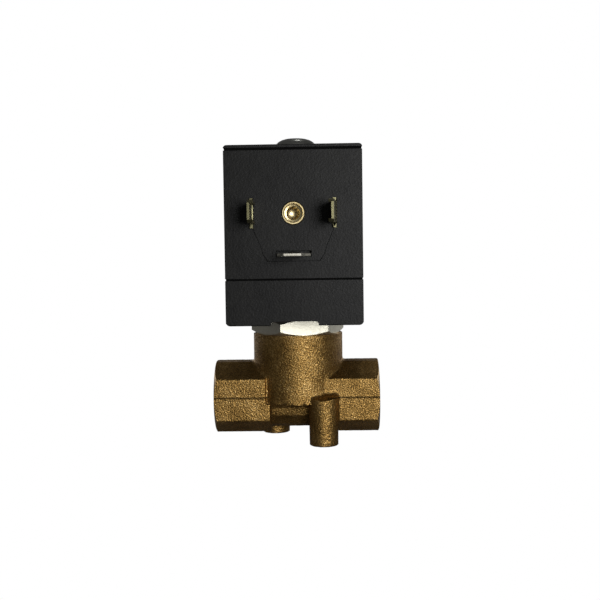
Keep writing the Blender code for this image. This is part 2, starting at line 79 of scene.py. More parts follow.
WAVE = 0.32  # period of the wave pattern at a scale of one
Point = tuple[float, float, float]
Profile = list[tuple[float, float]]
Mesh = bmesh.types.BMesh
Tree = bpy.types.NodeTree
Socket = bpy.types.NodeSocket


class Axis(Enum):
    """Direction that a turned shape's axis runs in, as the turn that lays +Z along it."""

    X = (90.0, "Y")
    Y = (-90.0, "X")
    Z = (0.0, "Z")


class Join(Enum):
    """How one solid acts on another."""

    UNITE = "UNION"
    CUT = "DIFFERENCE"
    KEEP_COMMON = "INTERSECT"


# --- finishes ------------------------------------------------------------------------------------


def linear(code: str) -> tuple[float, float, float, float]:
    """Turn an sRGB hex colour into linear RGBA.

    Args:
        code: six hex digits, with or without a leading hash.

    Returns:
        Linear red, green, blue and an alpha of one.
    """
    digits = code.lstrip("#")
    channels = [int(digits[start:start + 2], 16) / 255 for start in (0, 2, 4)]
    curve = [c / 12.92 if c <= 0.04045 else ((c + 0.055) / 1.055) ** 2.4 for c in channels]
    return (curve[0], curve[1], curve[2], 1.0)


def add_node(tree: Tree, kind: str, settings: dict | None = None,
             links: dict | None = None) -> bpy.types.Node:
    """Add a node with its settings and links.

    Args:
        tree: the node tree that gets the node.
        kind: the node's type name, without its ShaderNode prefix.
        settings: attributes by name, and socket values by socket name or index.
        links: source sockets by input name or index.

    Returns:
        The new node.
    """
    node = tree.nodes.new("ShaderNode" + kind)
    for key, value in (settings or {}).items():
        if isinstance(key, str) and hasattr(node, key):
            setattr(node, key, value)
        else:
            node.inputs[key].default_value = value
    for key, source in (links or {}).items():
        tree.links.new(source, node.inputs[key])
    return node


def set_ramp(node: bpy.types.Node, stops: Sequence[tuple[float, str]]) -> None:
    """Set the stops of a colour ramp.

    Args:
        node: the ramp's node.
        stops: position and hex colour of each stop.
    """
    ramp = node.color_ramp
    while len(ramp.elements) > len(stops):
        ramp.elements.remove(ramp.elements[-1])
    while len(ramp.elements) < len(stops):
        ramp.elements.new(1.0)
    for element, (position, code) in zip(ramp.elements, stops):
        element.position = position
        element.color = linear(code)


@dataclass(frozen=True)
class Finish:
    """A surface: a base colour with cloudy variation, a fine grain and a bump.

    Attributes:
        name: the material's name.
        slot: the record's material slot; not used.
        dark: colour in the hollows of the grain.
        light: colour on its high spots.
        metallic: 0 for a plastic or rubber, 1 for a metal.
        roughness: mean roughness.
        rough_spread: how far the roughness wanders to each side.
        grain_mm: size of the grain.
        bump_mm: height of the grain's bump.
        cloud_mm: size of the slow variation in colour.
        cloud_share: its share of the colour; the grain has the rest.
        cloud_detail: its octaves.
        stretch: how much longer the grain is along Z than across it.
    """

    name: str
    slot: str
    dark: str
    light: str
    metallic: float = 0.0
    roughness: float = 0.5
    rough_spread: float = 0.08
    grain_mm: float = 0.3
    bump_mm: float = 0.01
    cloud_mm: float = 6.0
    cloud_share: float = 0.5
    cloud_detail: float = 4.0
    stretch: float = 1.0

    def place(self, tree: Tree) -> Socket:
        """Coordinates on the piece, drawn out along Z by the stretch.

        Args:
            tree: the material's node tree.

        Returns:
            The vector that the patterns read.
        """
        where = add_node(tree, "TexCoord")
        mapping = add_node(tree, "Mapping", {"Scale": (1.0, 1.0, 1.0 / self.stretch)},
                           {"Vector": where.outputs["Object"]})
        return mapping.outputs["Vector"]

    def grain(self, tree: Tree, where: Socket) -> Socket:
        """Height of the fine grain.

        Args:
            tree: the material's node tree.
            where: coordinates on the piece.

        Returns:
            A value from 0 to 1.
        """
        fine = add_node(tree, "TexNoise", {"Scale": 1 / (self.grain_mm * MM), "Detail": 3.0,
                                           "Roughness": 0.6}, {"Vector": where})
        return fine.outputs["Fac"]

    def shades(self) -> list[tuple[float, str]]:
        """Stops of the colour ramp, from the grain's hollows to its high spots."""
        return [(0.3, self.dark), (0.7, self.light)]

    def colour(self, tree: Tree, where: Socket, grain: Socket) -> Socket:
        """Base colour from the grain and the slow clouds.

        Args:
            tree: the material's node tree.
            where: coordinates on the piece.
            grain: height of the fine grain.

        Returns:
            The base colour.
        """
        cloud = add_node(tree, "TexNoise", {"Scale": 1 / (self.cloud_mm * MM),
                                            "Detail": self.cloud_detail}, {"Vector": where})
        both = add_node(tree, "Mix", {0: self.cloud_share}, {2: grain, 3: cloud.outputs["Fac"]})
        ramp = add_node(tree, "ValToRGB", links={"Fac": both.outputs[0]})
        set_ramp(ramp, self.shades())
        return ramp.outputs["Color"]

    def details(self, shader: bpy.types.Node) -> None:
        """Set constant sockets that only some finishes need."""

    def height(self, tree: Tree, where: Socket, grain: Socket) -> Socket:
        """Height that drives the bump, from 0 to 1."""
        return grain

    def material(self) -> bpy.types.Material:
        """The finish's material, made once.

        Returns:
            A node material on one Principled shader.
        """
        known = bpy.data.materials.get(self.name)
        if known is not None:
            return known
        material = bpy.data.materials.new(self.name)
        material.use_nodes = True
        tree = material.node_tree
        shader = tree.nodes["Principled BSDF"]
        where = self.place(tree)
        grain = self.grain(tree, where)
        tree.links.new(self.colour(tree, where, grain), shader.inputs["Base Color"])
        rough = add_node(tree, "MapRange", {"To Min": self.roughness + self.rough_spread,
                                            "To Max": self.roughness - self.rough_spread},
                         {"Value": grain})
        tree.links.new(rough.outputs["Result"], shader.inputs["Roughness"])
        bump = add_node(tree, "Bump", {"Strength": 1.0, "Distance": self.bump_mm * MM},
                        {"Height": self.height(tree, where, grain)})
        tree.links.new(bump.outputs["Normal"], shader.inputs["Normal"])
        shader.inputs["Metallic"].default_value = self.metallic
        self.details(shader)
        material.diffuse_color = linear(self.light)
        return material


@dataclass(frozen=True)
class ForgedBrass(Finish):
    """Hot-forged brass with oxide in its hollows, shot dimples and painted shade along the die line
    on the ports, standing in for the thin shadow under the flash ridge.

    Attributes:
        cloud_share: the clouds' share, small beside the shot's flecks.
        cloud_detail: the clouds' octaves.
        oxide: colour of the deepest hollows.
        fleck: colour of the highest spots.
        dimple_mm: size of a shot dimple.
        die_line_mm: height of the die line.
        die_line_half_mm: half the width of the painted shade along it.
        die_line_shade_strength: how much the painted shade darkens the metal, up to 1.
        die_line_from_mm: distance along X from which it shows.
    """

    cloud_share: float = 0.28
    cloud_detail: float = 5.0
    oxide: str = "#5A4626"
    fleck: str = "#DDBE86"
    dimple_mm: float = 0.32
    die_line_mm: float = 0.65
    die_line_half_mm: float = 0.24
    die_line_shade_strength: float = 0.9
    die_line_from_mm: float = 7.0

    def shades(self) -> list[tuple[float, str]]:
        """Brown oxide, then gold on the high spots and pale flecks on the highest."""
        return [(0.3, self.oxide), (0.45, self.dark), (0.56, self.light), (0.7, self.fleck)]

    def colour(self, tree: Tree, where: Socket, grain: Socket) -> Socket:
        """The blasted metal's colour, darkened along the die line by painted shade.

        Args:
            tree: the material's node tree.
            where: coordinates on the piece.
            grain: height of the fine grain.

        Returns:
            The base colour.
        """
        mixed = add_node(tree, "Mix", {"data_type": "RGBA", "blend_type": "MULTIPLY", 0: 1.0},
                         {6: super().colour(tree, where, grain), 7: self.die_line(tree, where)})
        return mixed.outputs[2]

    def die_line(self, tree: Tree, where: Socket) -> Socket:
        """Painted shade along both ports where the dies met, standing in for the flash ridge's shadow.

        Args:
            tree: the material's node tree.
            where: coordinates on the piece.

        Returns:
            1 off the line, less on it.
        """
        place = add_node(tree, "SeparateXYZ", links={"Vector": where})
        offset = add_node(tree, "Math", {"operation": "SUBTRACT", 1: self.die_line_mm * MM},
                          {0: place.outputs["Z"]})
        away = add_node(tree, "Math", {"operation": "ABSOLUTE"}, {0: offset.outputs[0]})
        depth = add_node(tree, "MapRange", {"From Max": self.die_line_half_mm * MM,
                                            "To Min": self.die_line_shade_strength, "To Max": 0.0},
                         {"Value": away.outputs[0]})
        reach = add_node(tree, "Math", {"operation": "ABSOLUTE"}, {0: place.outputs["X"]})
        port = add_node(tree, "Math", {"operation": "GREATER_THAN", 1: self.die_line_from_mm * MM},
                        {0: reach.outputs[0]})
        shade = add_node(tree, "Math", {"operation": "MULTIPLY"},
                         {0: depth.outputs["Result"], 1: port.outputs[0]})
        rest = add_node(tree, "Math", {"operation": "SUBTRACT", 0: 1.0}, {1: shade.outputs[0]})
        return rest.outputs[0]

    def height(self, tree: Tree, where: Socket, grain: Socket) -> Socket:
        """Shot dimples over the grain.

        Args:
            tree: the material's node tree.
            where: coordinates on the piece.
            grain: height of the fine grain.

        Returns:
            The height for the bump.
        """
        dimples = add_node(tree, "TexVoronoi", {"Scale": 1 / (self.dimple_mm * MM)}, {"Vector": where})
        total = add_node(tree, "Math", {"operation": "ADD"},
                         {0: grain, 1: dimples.outputs["Distance"]})
        return total.outputs[0]


@dataclass(frozen=True)
class TurnedMetal(Finish):
    """Metal off the lathe, with fine tool rings.

    Attributes:
        ring_mm: distance from ring to ring.
        rings_about: axis that the rings run round.
        grain_weight: the grain's part in the bump.
    """

    ring_mm: float = 0.25
    rings_about: str = "Z"
    grain_weight: float = 0.4

    def height(self, tree: Tree, where: Socket, grain: Socket) -> Socket:
        """Tool rings with a little of the grain.

        Args:
            tree: the material's node tree.
            where: coordinates on the piece.
            grain: height of the fine grain.

        Returns:
            The height for the bump.
        """
        rings = add_node(tree, "TexWave", {"wave_type": "RINGS", "rings_direction": self.rings_about,
                                           "Scale": WAVE / (self.ring_mm * MM), "Distortion": 0.6,
                                           "Detail": 1.0}, {"Vector": where})
        total = add_node(tree, "Math", {"operation": "MULTIPLY_ADD", 1: self.grain_weight},
                         {0: grain, 2: rings.outputs["Fac"]})
        return total.outputs[0]


@dataclass(frozen=True)
class Moulding(Finish):
    """Glass-filled moulding, mottled by the fibres near its skin.

    Attributes:
        fibre_mm: width of a bundle of fibres.
        fibre_stretch: how much longer it is upright than across.
        fibre_weight: the fibres' part in the colour.
        cloud_weight: the clouds' part in the colour.
        sheen: strength of the reflection; the fibres break up the skin, so it is weak.
    """

    fibre_mm: float = 0.9
    fibre_stretch: float = 2.5
    fibre_weight: float = 0.55
    cloud_weight: float = 0.5
    sheen: float = 0.2

    def details(self, shader: bpy.types.Node) -> None:
        """Set the strength of the reflection."""
        shader.inputs["Specular IOR Level"].default_value = self.sheen

    def colour(self, tree: Tree, where: Socket, grain: Socket) -> Socket:
        """Charcoal that wanders slowly and lightens along short upright fibres.

        Args:
            tree: the material's node tree.
            where: coordinates on the piece.
            grain: height of the fine grain, which only the bump and the roughness use.

        Returns:
            The base colour.
        """
        cloud = add_node(tree, "TexNoise", {"Scale": 1 / (self.cloud_mm * MM), "Detail": 6.0,
                                            "Roughness": 0.65}, {"Vector": where})
        upright = add_node(tree, "Mapping", {"Scale": (1.0, 1.0, 1.0 / self.fibre_stretch)},
                           {"Vector": where})
        fibre = add_node(tree, "TexNoise", {"Scale": 1 / (self.fibre_mm * MM), "Detail": 5.0,
                                            "Roughness": 0.7}, {"Vector": upright.outputs["Vector"]})
        slow = add_node(tree, "Math", {"operation": "MULTIPLY", 1: self.cloud_weight},
                        {0: cloud.outputs["Fac"]})
        mixed = add_node(tree, "Math", {"operation": "MULTIPLY_ADD", 1: self.fibre_weight},
                         {0: fibre.outputs["Fac"], 2: slow.outputs[0]})
        ramp = add_node(tree, "ValToRGB", links={"Fac": mixed.outputs[0]})
        set_ramp(ramp, [(0.35, self.dark), (0.68, self.light)])
        return ramp.outputs["Color"]


# Hot-forged brass, shot-blasted: brown gold and half matt, with bright flecks where the shot struck.
# Shot leaves marks of about 0.1 mm; they are drawn at 0.3 mm so that they show.
FORGED = ForgedBrass("shot_blasted_forged_brass", "forged_brass", "#826435", "#AA874D", metallic=1.0,
                     roughness=0.46, rough_spread=0.12, grain_mm=0.3, bump_mm=0.08, cloud_mm=4.0)
# The same brass after the lathe: bare, paler and glossier, with rings about the ports' axis.
MACHINED = TurnedMetal("machined_brass", "forged_brass", "#B8925A", "#E0C084", metallic=1.0,
                       roughness=0.32, grain_mm=0.4, bump_mm=0.008, rings_about="X")
# Free-cutting brass rod turned to an insert: pale gold, with bright rims round a ringed countersink.
INSERT_BRASS = TurnedMetal("turned_brass_insert", "turned_brass", "#C4AE76", "#EADDB6", metallic=1.0,
                           roughness=0.36, grain_mm=0.3, bump_mm=0.006, rings_about="Y")
# Pickled stainless bar: warm white where it faces the light, plain grey on the other flats.
BASE_STEEL = Finish("bright_stainless", "stainless_steel", "#CFCCBC", "#E2DFD0", metallic=1.0,
                    roughness=0.5, rough_spread=0.06, grain_mm=0.4, bump_mm=0.012)
# Cold-drawn stainless wire: smooth and bright along each turn.
SPRING_STEEL = Finish("drawn_stainless_wire", "stainless_steel", "#A2A29C", "#CFCFCA", metallic=1.0,
                      roughness=0.3, grain_mm=0.3, bump_mm=0.004)
# Stainless nut turned on its dome: dark grey with a small hard glint. Its tool rings are 0.1 mm apart
# and are drawn at 0.8 mm so that they show.
NUT_STEEL = TurnedMetal("turned_stainless", "stainless_steel", "#84857F", "#B4B4AE", metallic=1.0,
                        roughness=0.27, grain_mm=0.3, bump_mm=0.014, ring_mm=0.8)
# Ground ferritic steel of plunger and core: even grey with fine rings.
CORE_STEEL = TurnedMetal("ferritic_steel", "magnetic_steel", "#8C8C8C", "#B4B4B2", metallic=1.0,
                         roughness=0.35, bump_mm=0.01)
# Bright zinc on pressed steel: a cool light grey, faintly cloudy.
ZINC = Finish("zinc_plate", "zinc_plated_steel", "#A4A6A8", "#C8CACC", metallic=1.0, roughness=0.38,
              grain_mm=0.8, bump_mm=0.006)
# Glass-filled polyester out of a sparked mould: matt charcoal, mottled, with faint grey fibres. Fibres
# are 0.01 mm thick and are drawn as bundles of 0.9 mm.
MOULDING = Moulding("glass_filled_moulding", "black_moulding", "#080807", "#1F1F1E", roughness=0.46,
                    rough_spread=0.08, grain_mm=0.45, bump_mm=0.045, cloud_mm=9.0)
# The same moulding painted close to black inside the lip line and the seam: painted shade,
# # since the grooves are too shallow to darken from their depth alone.
SHADED_GROOVE = Moulding("painted_shade_groove", "black_moulding", "#050505", "#0B0B0A", roughness=0.9,
                  sheen=0.1)
# Injection-moulded natural nylon: milky off-white, half glossy.
NYLON = Finish("natural_nylon", "bobbin_nylon", "#CFCABB", "#E6E2D6", roughness=0.45)
# Polyester tape: glossy amber film.
FILM = Finish("polyester_film", "winding_tape", "#C79A2A", "#E2BC50", roughness=0.3, grain_mm=1.5)
# Rolled brass strip, tinned and then handled: dull olive grey, drawn out along the strip.
TIN = Finish("tinned_brass_strip", "tinned_brass", "#605D43", "#8D8969", metallic=1.0, roughness=0.42,
             grain_mm=0.5, bump_mm=0.02, stretch=0.4)
# The same tinned strip made silver white for the earth tab alone: a painted highlight on its end,
# # which shows brighter than the line tabs.
LIT_TIN = Finish("tinned_strip_painted_highlight", "tinned_brass", "#B5B2A4", "#D4D1C6", metallic=1.0,
                  roughness=0.58, grain_mm=0.5, bump_mm=0.01)
# Enamelled copper wire, wound close: red brown and glossy, with the turns as rings.
COPPER = TurnedMetal("enamelled_copper", "copper", "#A4552C", "#D08050", metallic=1.0, roughness=0.28,
                     bump_mm=0.02, ring_mm=0.4)
# Moulded fluoro rubber: near black and matt.
RUBBER = Finish("fluoro_rubber", "seal_rubber", "#101010", "#232322", roughness=0.7, bump_mm=0.015)


# --- shapes --------------------------------------------------------------------------------------


def box_mm(node: str) -> tuple[Vector, Vector]:
    """Lowest and highest corner of a CAD node, in millimetres."""
    low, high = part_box(node)
    return low / MM, high / MM


def turned(profile: Profile, axis: Axis = Axis.Z, centre: Point = (0, 0, 0), steps: int = 96) -> Mesh:
    """Spin a profile into a closed solid.

    Args:
        profile: (radius, height) points; ends off the axis are joined to each other.
        axis: direction of the turning axis.
        centre: a point that the axis passes, where height is zero.
        steps: sides of the round.

    Returns:
        The solid's mesh, with its faces outward.
    """
    shape = bmesh.new()
    points = [shape.verts.new((radius * MM, 0, height * MM)) for radius, height in profile]
    lines = [shape.edges.new(pair) for pair in zip(points, points[1:])]
    if profile[0][0] > 0 or profile[-1][0] > 0:
        lines.append(shape.edges.new((points[-1], points[0])))
    bmesh.ops.spin(shape, geom=points + lines, cent=(0, 0, 0), axis=(0, 0, 1), angle=math.tau,
                   steps=steps, use_merge=True)
    bmesh.ops.remove_doubles(shape, verts=shape.verts, dist=MERGE)
    degrees, about = axis.value
    turn = Matrix.Rotation(math.radians(degrees), 4, about)
    bmesh.ops.transform(shape, matrix=Matrix.Translation(Vector(centre) * MM) @ turn, verts=shape.verts)
    bmesh.ops.recalc_face_normals(shape, faces=shape.faces)
    return shape


def rod(radius: float, low: float, high: float, axis: Axis = Axis.Z, centre: Point = (0, 0, 0),
        steps: int = 96) -> Mesh:
    """A plain cylinder from low to high along its axis."""
    return turned([(0, low), (radius, low), (radius, high), (0, high)], axis, centre, steps)


def extruded(outline: Sequence[Point], thickness: Point) -> Mesh:
    """Extrude a flat outline by a thickness vector.

    Args:
        outline: corner points in order.
        thickness: the extrusion, in the same axes.

    Returns:
        The solid's mesh.
    """
    shape = bmesh.new()
    face = shape.faces.new([shape.verts.new(Vector(point) * MM) for point in outline])
    grown = bmesh.ops.extrude_face_region(shape, geom=[face])["geom"]
    moved = [part for part in grown if isinstance(part, bmesh.types.BMVert)]
    bmesh.ops.translate(shape, vec=Vector(thickness) * MM, verts=moved)
    bmesh.ops.recalc_face_normals(shape, faces=shape.faces)
    return shape


def rounded_box(low: Sequence[float], high: Sequence[float], upright: float = 0.0,
                level: float = 0.0, sides: float = 0.0, segments: int = 4) -> Mesh:
    """A box with rounded edges.

    Args:
        low: lowest corner.
        high: highest corner.
        upright: radius of the four upright edges.
        level: radius of the edges left round the top and the bottom.
        sides: radius of the four edges that run from front to back.
        segments: steps across each round.

    Returns:
        The solid's mesh.
    """
    shape = bmesh.new()
    size = (Vector(high) - Vector(low)) * MM
    middle = (Vector(high) + Vector(low)) * MM / 2
    bmesh.ops.create_cube(shape, size=1, matrix=Matrix.Translation(middle) @ Matrix.Diagonal((*size, 1)))
    for radius, runs in ((sides, "y"), (upright, "z"), (level, "level")):
        if not radius:
            continue
        chosen = []
        for edge in shape.edges:
            span = edge.verts[0].co - edge.verts[1].co
            _, along_y, along_z = (abs(span[step]) > size[step] * SPAN for step in range(3))
            fits = {"y": along_y, "z": along_z, "level": not along_z and not (sides and along_y)}
            if fits[runs] and edge.calc_face_angle(0) > CREASE:
                chosen.append(edge)
        bmesh.ops.bevel(shape, geom=chosen, offset=radius * MM, segments=segments, profile=0.5,
                        affect="EDGES", material=-1)
    return shape


def hexagon(across_flats: float, height: float, turn: float = 0.0) -> list[Point]:
    """Corners of a level hexagon about the valve's axis.

    Args:
        across_flats: width from flat to flat.
        height: where it lies.
        turn: degrees from a corner on +X.

    Returns:
        The six corners.
    """
    reach = across_flats / 2 / math.cos(math.radians(30))
    angles = [math.radians(60 * step + turn) for step in range(6)]
    return [(reach * math.cos(angle), reach * math.sin(angle), height) for angle in angles]


def as_object(name: str, shape: Mesh, finish: Finish) -> bpy.types.Object:
    """Turn a mesh into an object; the bmesh is freed.

    Args:
        name: the object's name.
        shape: its mesh.
        finish: its finish.

    Returns:
        The object, in the scene.
    """
    mesh = bpy.data.meshes.new(name)
    shape.to_mesh(mesh)
    shape.free()
    mesh.materials.append(finish.material())
    piece = bpy.data.objects.new(name, mesh)
    bpy.context.scene.collection.objects.link(piece)
    return piece


def as_shape(piece: bpy.types.Object) -> Mesh:
    """Turn an object back into a mesh; the object is removed.

    Args:
        piece: the object.

    Returns:
        Its mesh.
    """
    shape = bmesh.new()
    shape.from_mesh(piece.data)
    bpy.data.objects.remove(piece, do_unlink=True)
    return shape


def settle(piece: bpy.types.Object) -> None:
    """Make the piece's modifiers part of its mesh.

    Args:
        piece: the piece that is changed.
    """
    graph = bpy.context.evaluated_depsgraph_get()
    result = bpy.data.meshes.new_from_object(piece.evaluated_get(graph), depsgraph=graph)
    before = piece.data
    name = before.name
    piece.modifiers.clear()
    piece.data = result
    bpy.data.meshes.remove(before)
    result.name = name


def combine(piece: bpy.types.Object, how: Join, shapes: Iterable[Mesh], finish: Finish) -> None:
    """Unite, cut or intersect a piece with solids and settle the result.

    Args:
        piece: the piece that is changed.
        how: what the solids do to it.
        shapes: the solids; each is used up.
        finish: the finish of the faces that they leave.
    """
    tools = [as_object(f"tool_{count}", shape, finish) for count, shape in enumerate(shapes)]
    for tool in tools:
        modifier = piece.modifiers.new(tool.name, "BOOLEAN")
        modifier.operation = how.value
        modifier.solver = "EXACT"
        modifier.material_mode = "TRANSFER"
        modifier.object = tool
    settle(piece)
    for tool in tools:
        bpy.data.objects.remove(tool, do_unlink=True)


def soften(piece: bpy.types.Object, width: float, segments: int = 3, angle: float = 30.0) -> None:
    """Round a piece's sharp edges.

    Args:
        piece: the piece that is changed.
        width: width of the round.
        segments: steps across it.
        angle: only edges sharper than this many degrees are rounded.
    """
    modifier = piece.modifiers.new("soft_edges", "BEVEL")
    modifier.width = width * MM
    modifier.segments = segments
    modifier.limit_method = "ANGLE"
    modifier.angle_limit = math.radians(angle)
    modifier.material = -1
    settle(piece)


def hand_over(piece: bpy.types.Object, finish: Finish, body: str, *nodes: str,
              sharp: float = 35.0) -> bpy.types.Object:
    """Shade a finished piece, put it on its body and let it stand for its CAD nodes.

    Args:
        piece: the finished piece.
        finish: not used.
        body: the CAD body that it moves with.
        nodes: the CAD nodes that it replaces.
        sharp: edges sharper than this many degrees stay crisp.

    Returns:
        The piece.
    """
    piece.data.shade_smooth()
    piece.data.set_sharp_from_angle(angle=math.radians(sharp))
    flat = piece.modifiers.new("flat_faces", "WEIGHTED_NORMAL")
    flat.keep_sharp = True
    settle(piece)
    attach(piece, body)
    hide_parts(*nodes)
    LOG.info("%s: %d faces on body %s", piece.name, len(piece.data.polygons), body)
    return piece


# --- sub-assemblies ------------------------------------------------------------------------------


@dataclass
class ValveBody:
    """Forged body: hexagonal port ends, neck, tower and two drafted bosses, then its machining.

    Attributes:
        tower_radius: radius of the tower.
        tower_foot: height of the tower's foot at the front and the back.
        foot_rise: how fast the foot rises towards the ports.
        hex_face: distance of a port's front face from its axis.
        hex_top: distance of its flattened top.
        hex_inner: X at which the left and the right port hexagon end.
        web_inner: X that the lower part of a port hexagon reaches in to.
        web_outer: X that it starts from, inside the hexagon.
        web_top: height of its upper side.
        neck: a quarter of the neck's section, as (y, z) points.
        neck_half: half the neck's length.
        boss_place: X and Y of the rear left boss; the front one mirrors it.
        boss_radii: radius at the foot and at the top.
        boss_top: height of the top at its outer edge.
        boss_slope: how fast the top rises towards the tower.
        end_radius: radius at which a port's end chamfer starts.
        end_slope: depth of that chamfer for each mm of radius.
        stock: metal left for machining.
        flash_z: height of the trimmed flash line.
        flash_high: how far it stands proud.
        flash_half: half its width.
        rim_high: how far the rim round the tower's foot stands proud.
        rim_half: half its width.
        rim_lift: its height over the foot.
        rim_reach: how far from the tower's radius it still shows.
        voxel: size of the forging's mesh.
        fold: degrees from which an edge counts as a corner.
        fillet_rings: width of a fillet, in rings of vertices.
        fillet_rounds: how often it is smoothed.
        blast_mm: size of the dents.
        blast_high: their depth.
        blast_swell: frequency of the wide waves beneath them, as a share of theirs.
        thread_major: outer radius of the port thread.
        thread_minor: its inner radius.
        thread_pitch: its pitch.
        thread_flank: the share of the pitch that each flank takes.
        thread_lead: how much wider the countersink is than the thread.
        port_floor: X at which the sockets end.
        orifice: radius of the seat's bore.
        way_radius: radius of the flow ways.
        inlet_way_z: height of the way from the inlet.
        outlet_way_z: height of the way to the outlet.
        hole_radius: radius of a boss's tapped hole.
        hole_mouth: radius of its countersink below the foot.
        hole_deep: its depth.
        low: lower corner of the body's CAD box.
        high: its upper corner.
    """

    tower_radius: float = 10.87
    tower_foot: float = -0.8
    foot_rise: float = 0.15
    hex_face: float = 8.69
    hex_top: float = 8.58
    hex_inner: tuple[float, float] = (-7.7, 7.0)
    web_inner: float = 6.7
    web_outer: float = 9.0
    web_top: float = -1.0
    neck: tuple[tuple[float, float], ...] = ((7.9, 0.7), (6.8, 1.95), (6.35, 4.0), (4.5, 6.3), (1.8, 7.42))
    neck_half: float = 8.0
    boss_place: tuple[float, float] = (6.07, 8.56)
    boss_radii: tuple[float, float] = (3.4, 3.55)
    boss_top: float = 0.25
    boss_slope: float = 0.34
    end_radius: float = 8.6
    end_slope: float = 0.5
    stock: float = 0.8
    flash_z: float = 0.6
    flash_high: float = 0.1
    flash_half: float = 0.2
    rim_high: float = 0.28
    rim_half: float = 0.3
    rim_lift: float = 0.1
    rim_reach: float = 0.25
    voxel: float = 0.225
    fold: float = 18.0
    fillet_rings: int = 3
    fillet_rounds: int = 14
    blast_mm: float = 0.45
    blast_high: float = 0.03
    blast_swell: float = 0.35
    thread_major: float = 6.58
    thread_minor: float = 5.9
    thread_pitch: float = 1.337
    thread_flank: float = 0.42
    thread_lead: float = 0.3
    port_floor: float = 9.4
    orifice: float = 1.5
    way_radius: float = 2.1
    inlet_way_z: float = 3.3
    outlet_way_z: float = -0.7
    hole_radius: float = 1.65
    hole_mouth: float = 3.05
    hole_deep: float = 6.5
    low: Vector = field(init=False)
    high: Vector = field(init=False)

    def __post_init__(self) -> None:
        """Read the body's place from the frame."""
        self.low, self.high = box_mm("valve_body")

    @staticmethod
    def outline(x: float, quarter: Sequence[tuple[float, float]]) -> list[Point]:
        """Mirror a quarter of a section, given as (y, z) points, to the whole section at x."""
        upper = [*quarter, *[(-y, z) for y, z in reversed(quarter)]]
        return [(x, y, z) for y, z in upper + [(-y, -z) for y, z in upper]]

    def port_outline(self, x: float) -> list[Point]:
        """Hexagon with flat faces front and back and flattened upper and lower corners.

        Args:
            x: where the outline lies.

        Returns:
            The outline's corners.
        """
        side = self.hex_face * math.tan(math.radians(30))
        half = (2 * self.hex_face / math.sqrt(3) - self.hex_top) * math.sqrt(3)
        return self.outline(x, [(self.hex_face, side), (half, self.hex_top)])

    def boss(self, side: int) -> Mesh:
        """A drafted mounting boss, its top rising towards the tower.

        Args:
            side: -1 for the front boss, 1 for the rear one.

        Returns:
            The boss's mesh.
        """
        shape = bmesh.new()
        foot = self.low.z
        bmesh.ops.create_cone(shape, cap_ends=True, segments=64, radius1=self.boss_radii[0] * MM,
                              radius2=self.boss_radii[1] * MM, depth=(self.boss_top - foot) * MM)
        for vert in shape.verts:
            if vert.co.z > 0:
                vert.co.z += self.boss_slope * (self.boss_radii[1] * MM - side * vert.co.y)
        x, y = self.boss_place
        bmesh.ops.translate(shape, verts=shape.verts,
                            vec=Vector((-side * x, side * y, (self.boss_top + foot) / 2)) * MM)
        return shape

    def web(self, side: int) -> Mesh:
        """The lower part of a port hexagon, which reaches further in under the tower.

        Args:
            side: -1 for the left port, 1 for the right one.

        Returns:
            The web's mesh.
        """
        shape = extruded(self.port_outline(side * self.web_outer),
                         (side * (self.web_inner - self.web_outer), 0, 0))
        bmesh.ops.bisect_plane(shape, geom=shape.verts[:] + shape.edges[:] + shape.faces[:], dist=MERGE,
                               plane_co=(0, 0, self.web_top * MM), plane_no=(0, 0, 1), clear_outer=True)
        bmesh.ops.holes_fill(shape, edges=shape.edges)
        bmesh.ops.recalc_face_normals(shape, faces=shape.faces)
        return shape

    def forging(self) -> bpy.types.Object:
        """The raw forging, a little long at the faces that are machined later.

        Returns:
            The forging, on an even mesh.
        """
        tower = rod(self.tower_radius, self.tower_foot, self.high.z + self.stock)
        for vert in tower.verts:
            if vert.co.z < 0:
                vert.co.z += self.foot_rise * (self.tower_radius * MM - abs(vert.co.y))
        piece = as_object("valve_body_forging", tower, FORGED)
        inlet, outlet = self.low.x - self.stock, self.high.x + self.stock
        left, right = self.hex_inner
        shapes = [extruded(self.port_outline(inlet), (left - inlet, 0, 0)),
                  extruded(self.port_outline(outlet), (right - outlet, 0, 0)),
                  self.web(-1), self.web(1),
                  extruded(self.outline(-self.neck_half, self.neck), (2 * self.neck_half, 0, 0)),
                  self.boss(-1), self.boss(1)]
        combine(piece, Join.UNITE, shapes, FORGED)
        remesh = piece.modifiers.new("skin", "REMESH")
        remesh.mode = "VOXEL"
        remesh.voxel_size = self.voxel * MM
        smooth = piece.modifiers.new("die_radius", "SMOOTH")
        smooth.factor = 0.5
        smooth.iterations = 2
        settle(piece)
        return piece

    def fillet(self, shape: Mesh) -> None:
        """Fill the inner corners with the die's fillet; outer edges stay crisp.

        Args:
            shape: the forging's mesh, which is changed.
        """
        fold = math.radians(self.fold)
        angles = [(edge, edge.calc_face_angle_signed(0)) for edge in shape.edges]
        ridge = {vert for edge, angle in angles if angle > fold for vert in edge.verts}
        hollow = {vert for edge, angle in angles if angle < -fold for vert in edge.verts}
        for _ in range(self.fillet_rings):
            hollow |= {edge.other_vert(vert) for vert in hollow for edge in vert.link_edges}
        chosen = [vert for vert in shape.verts if vert in hollow and vert not in ridge]
        for _ in range(self.fillet_rounds):
            bmesh.ops.smooth_vert(shape, verts=chosen, factor=0.5, use_axis_x=True, use_axis_y=True,
                                  use_axis_z=True)

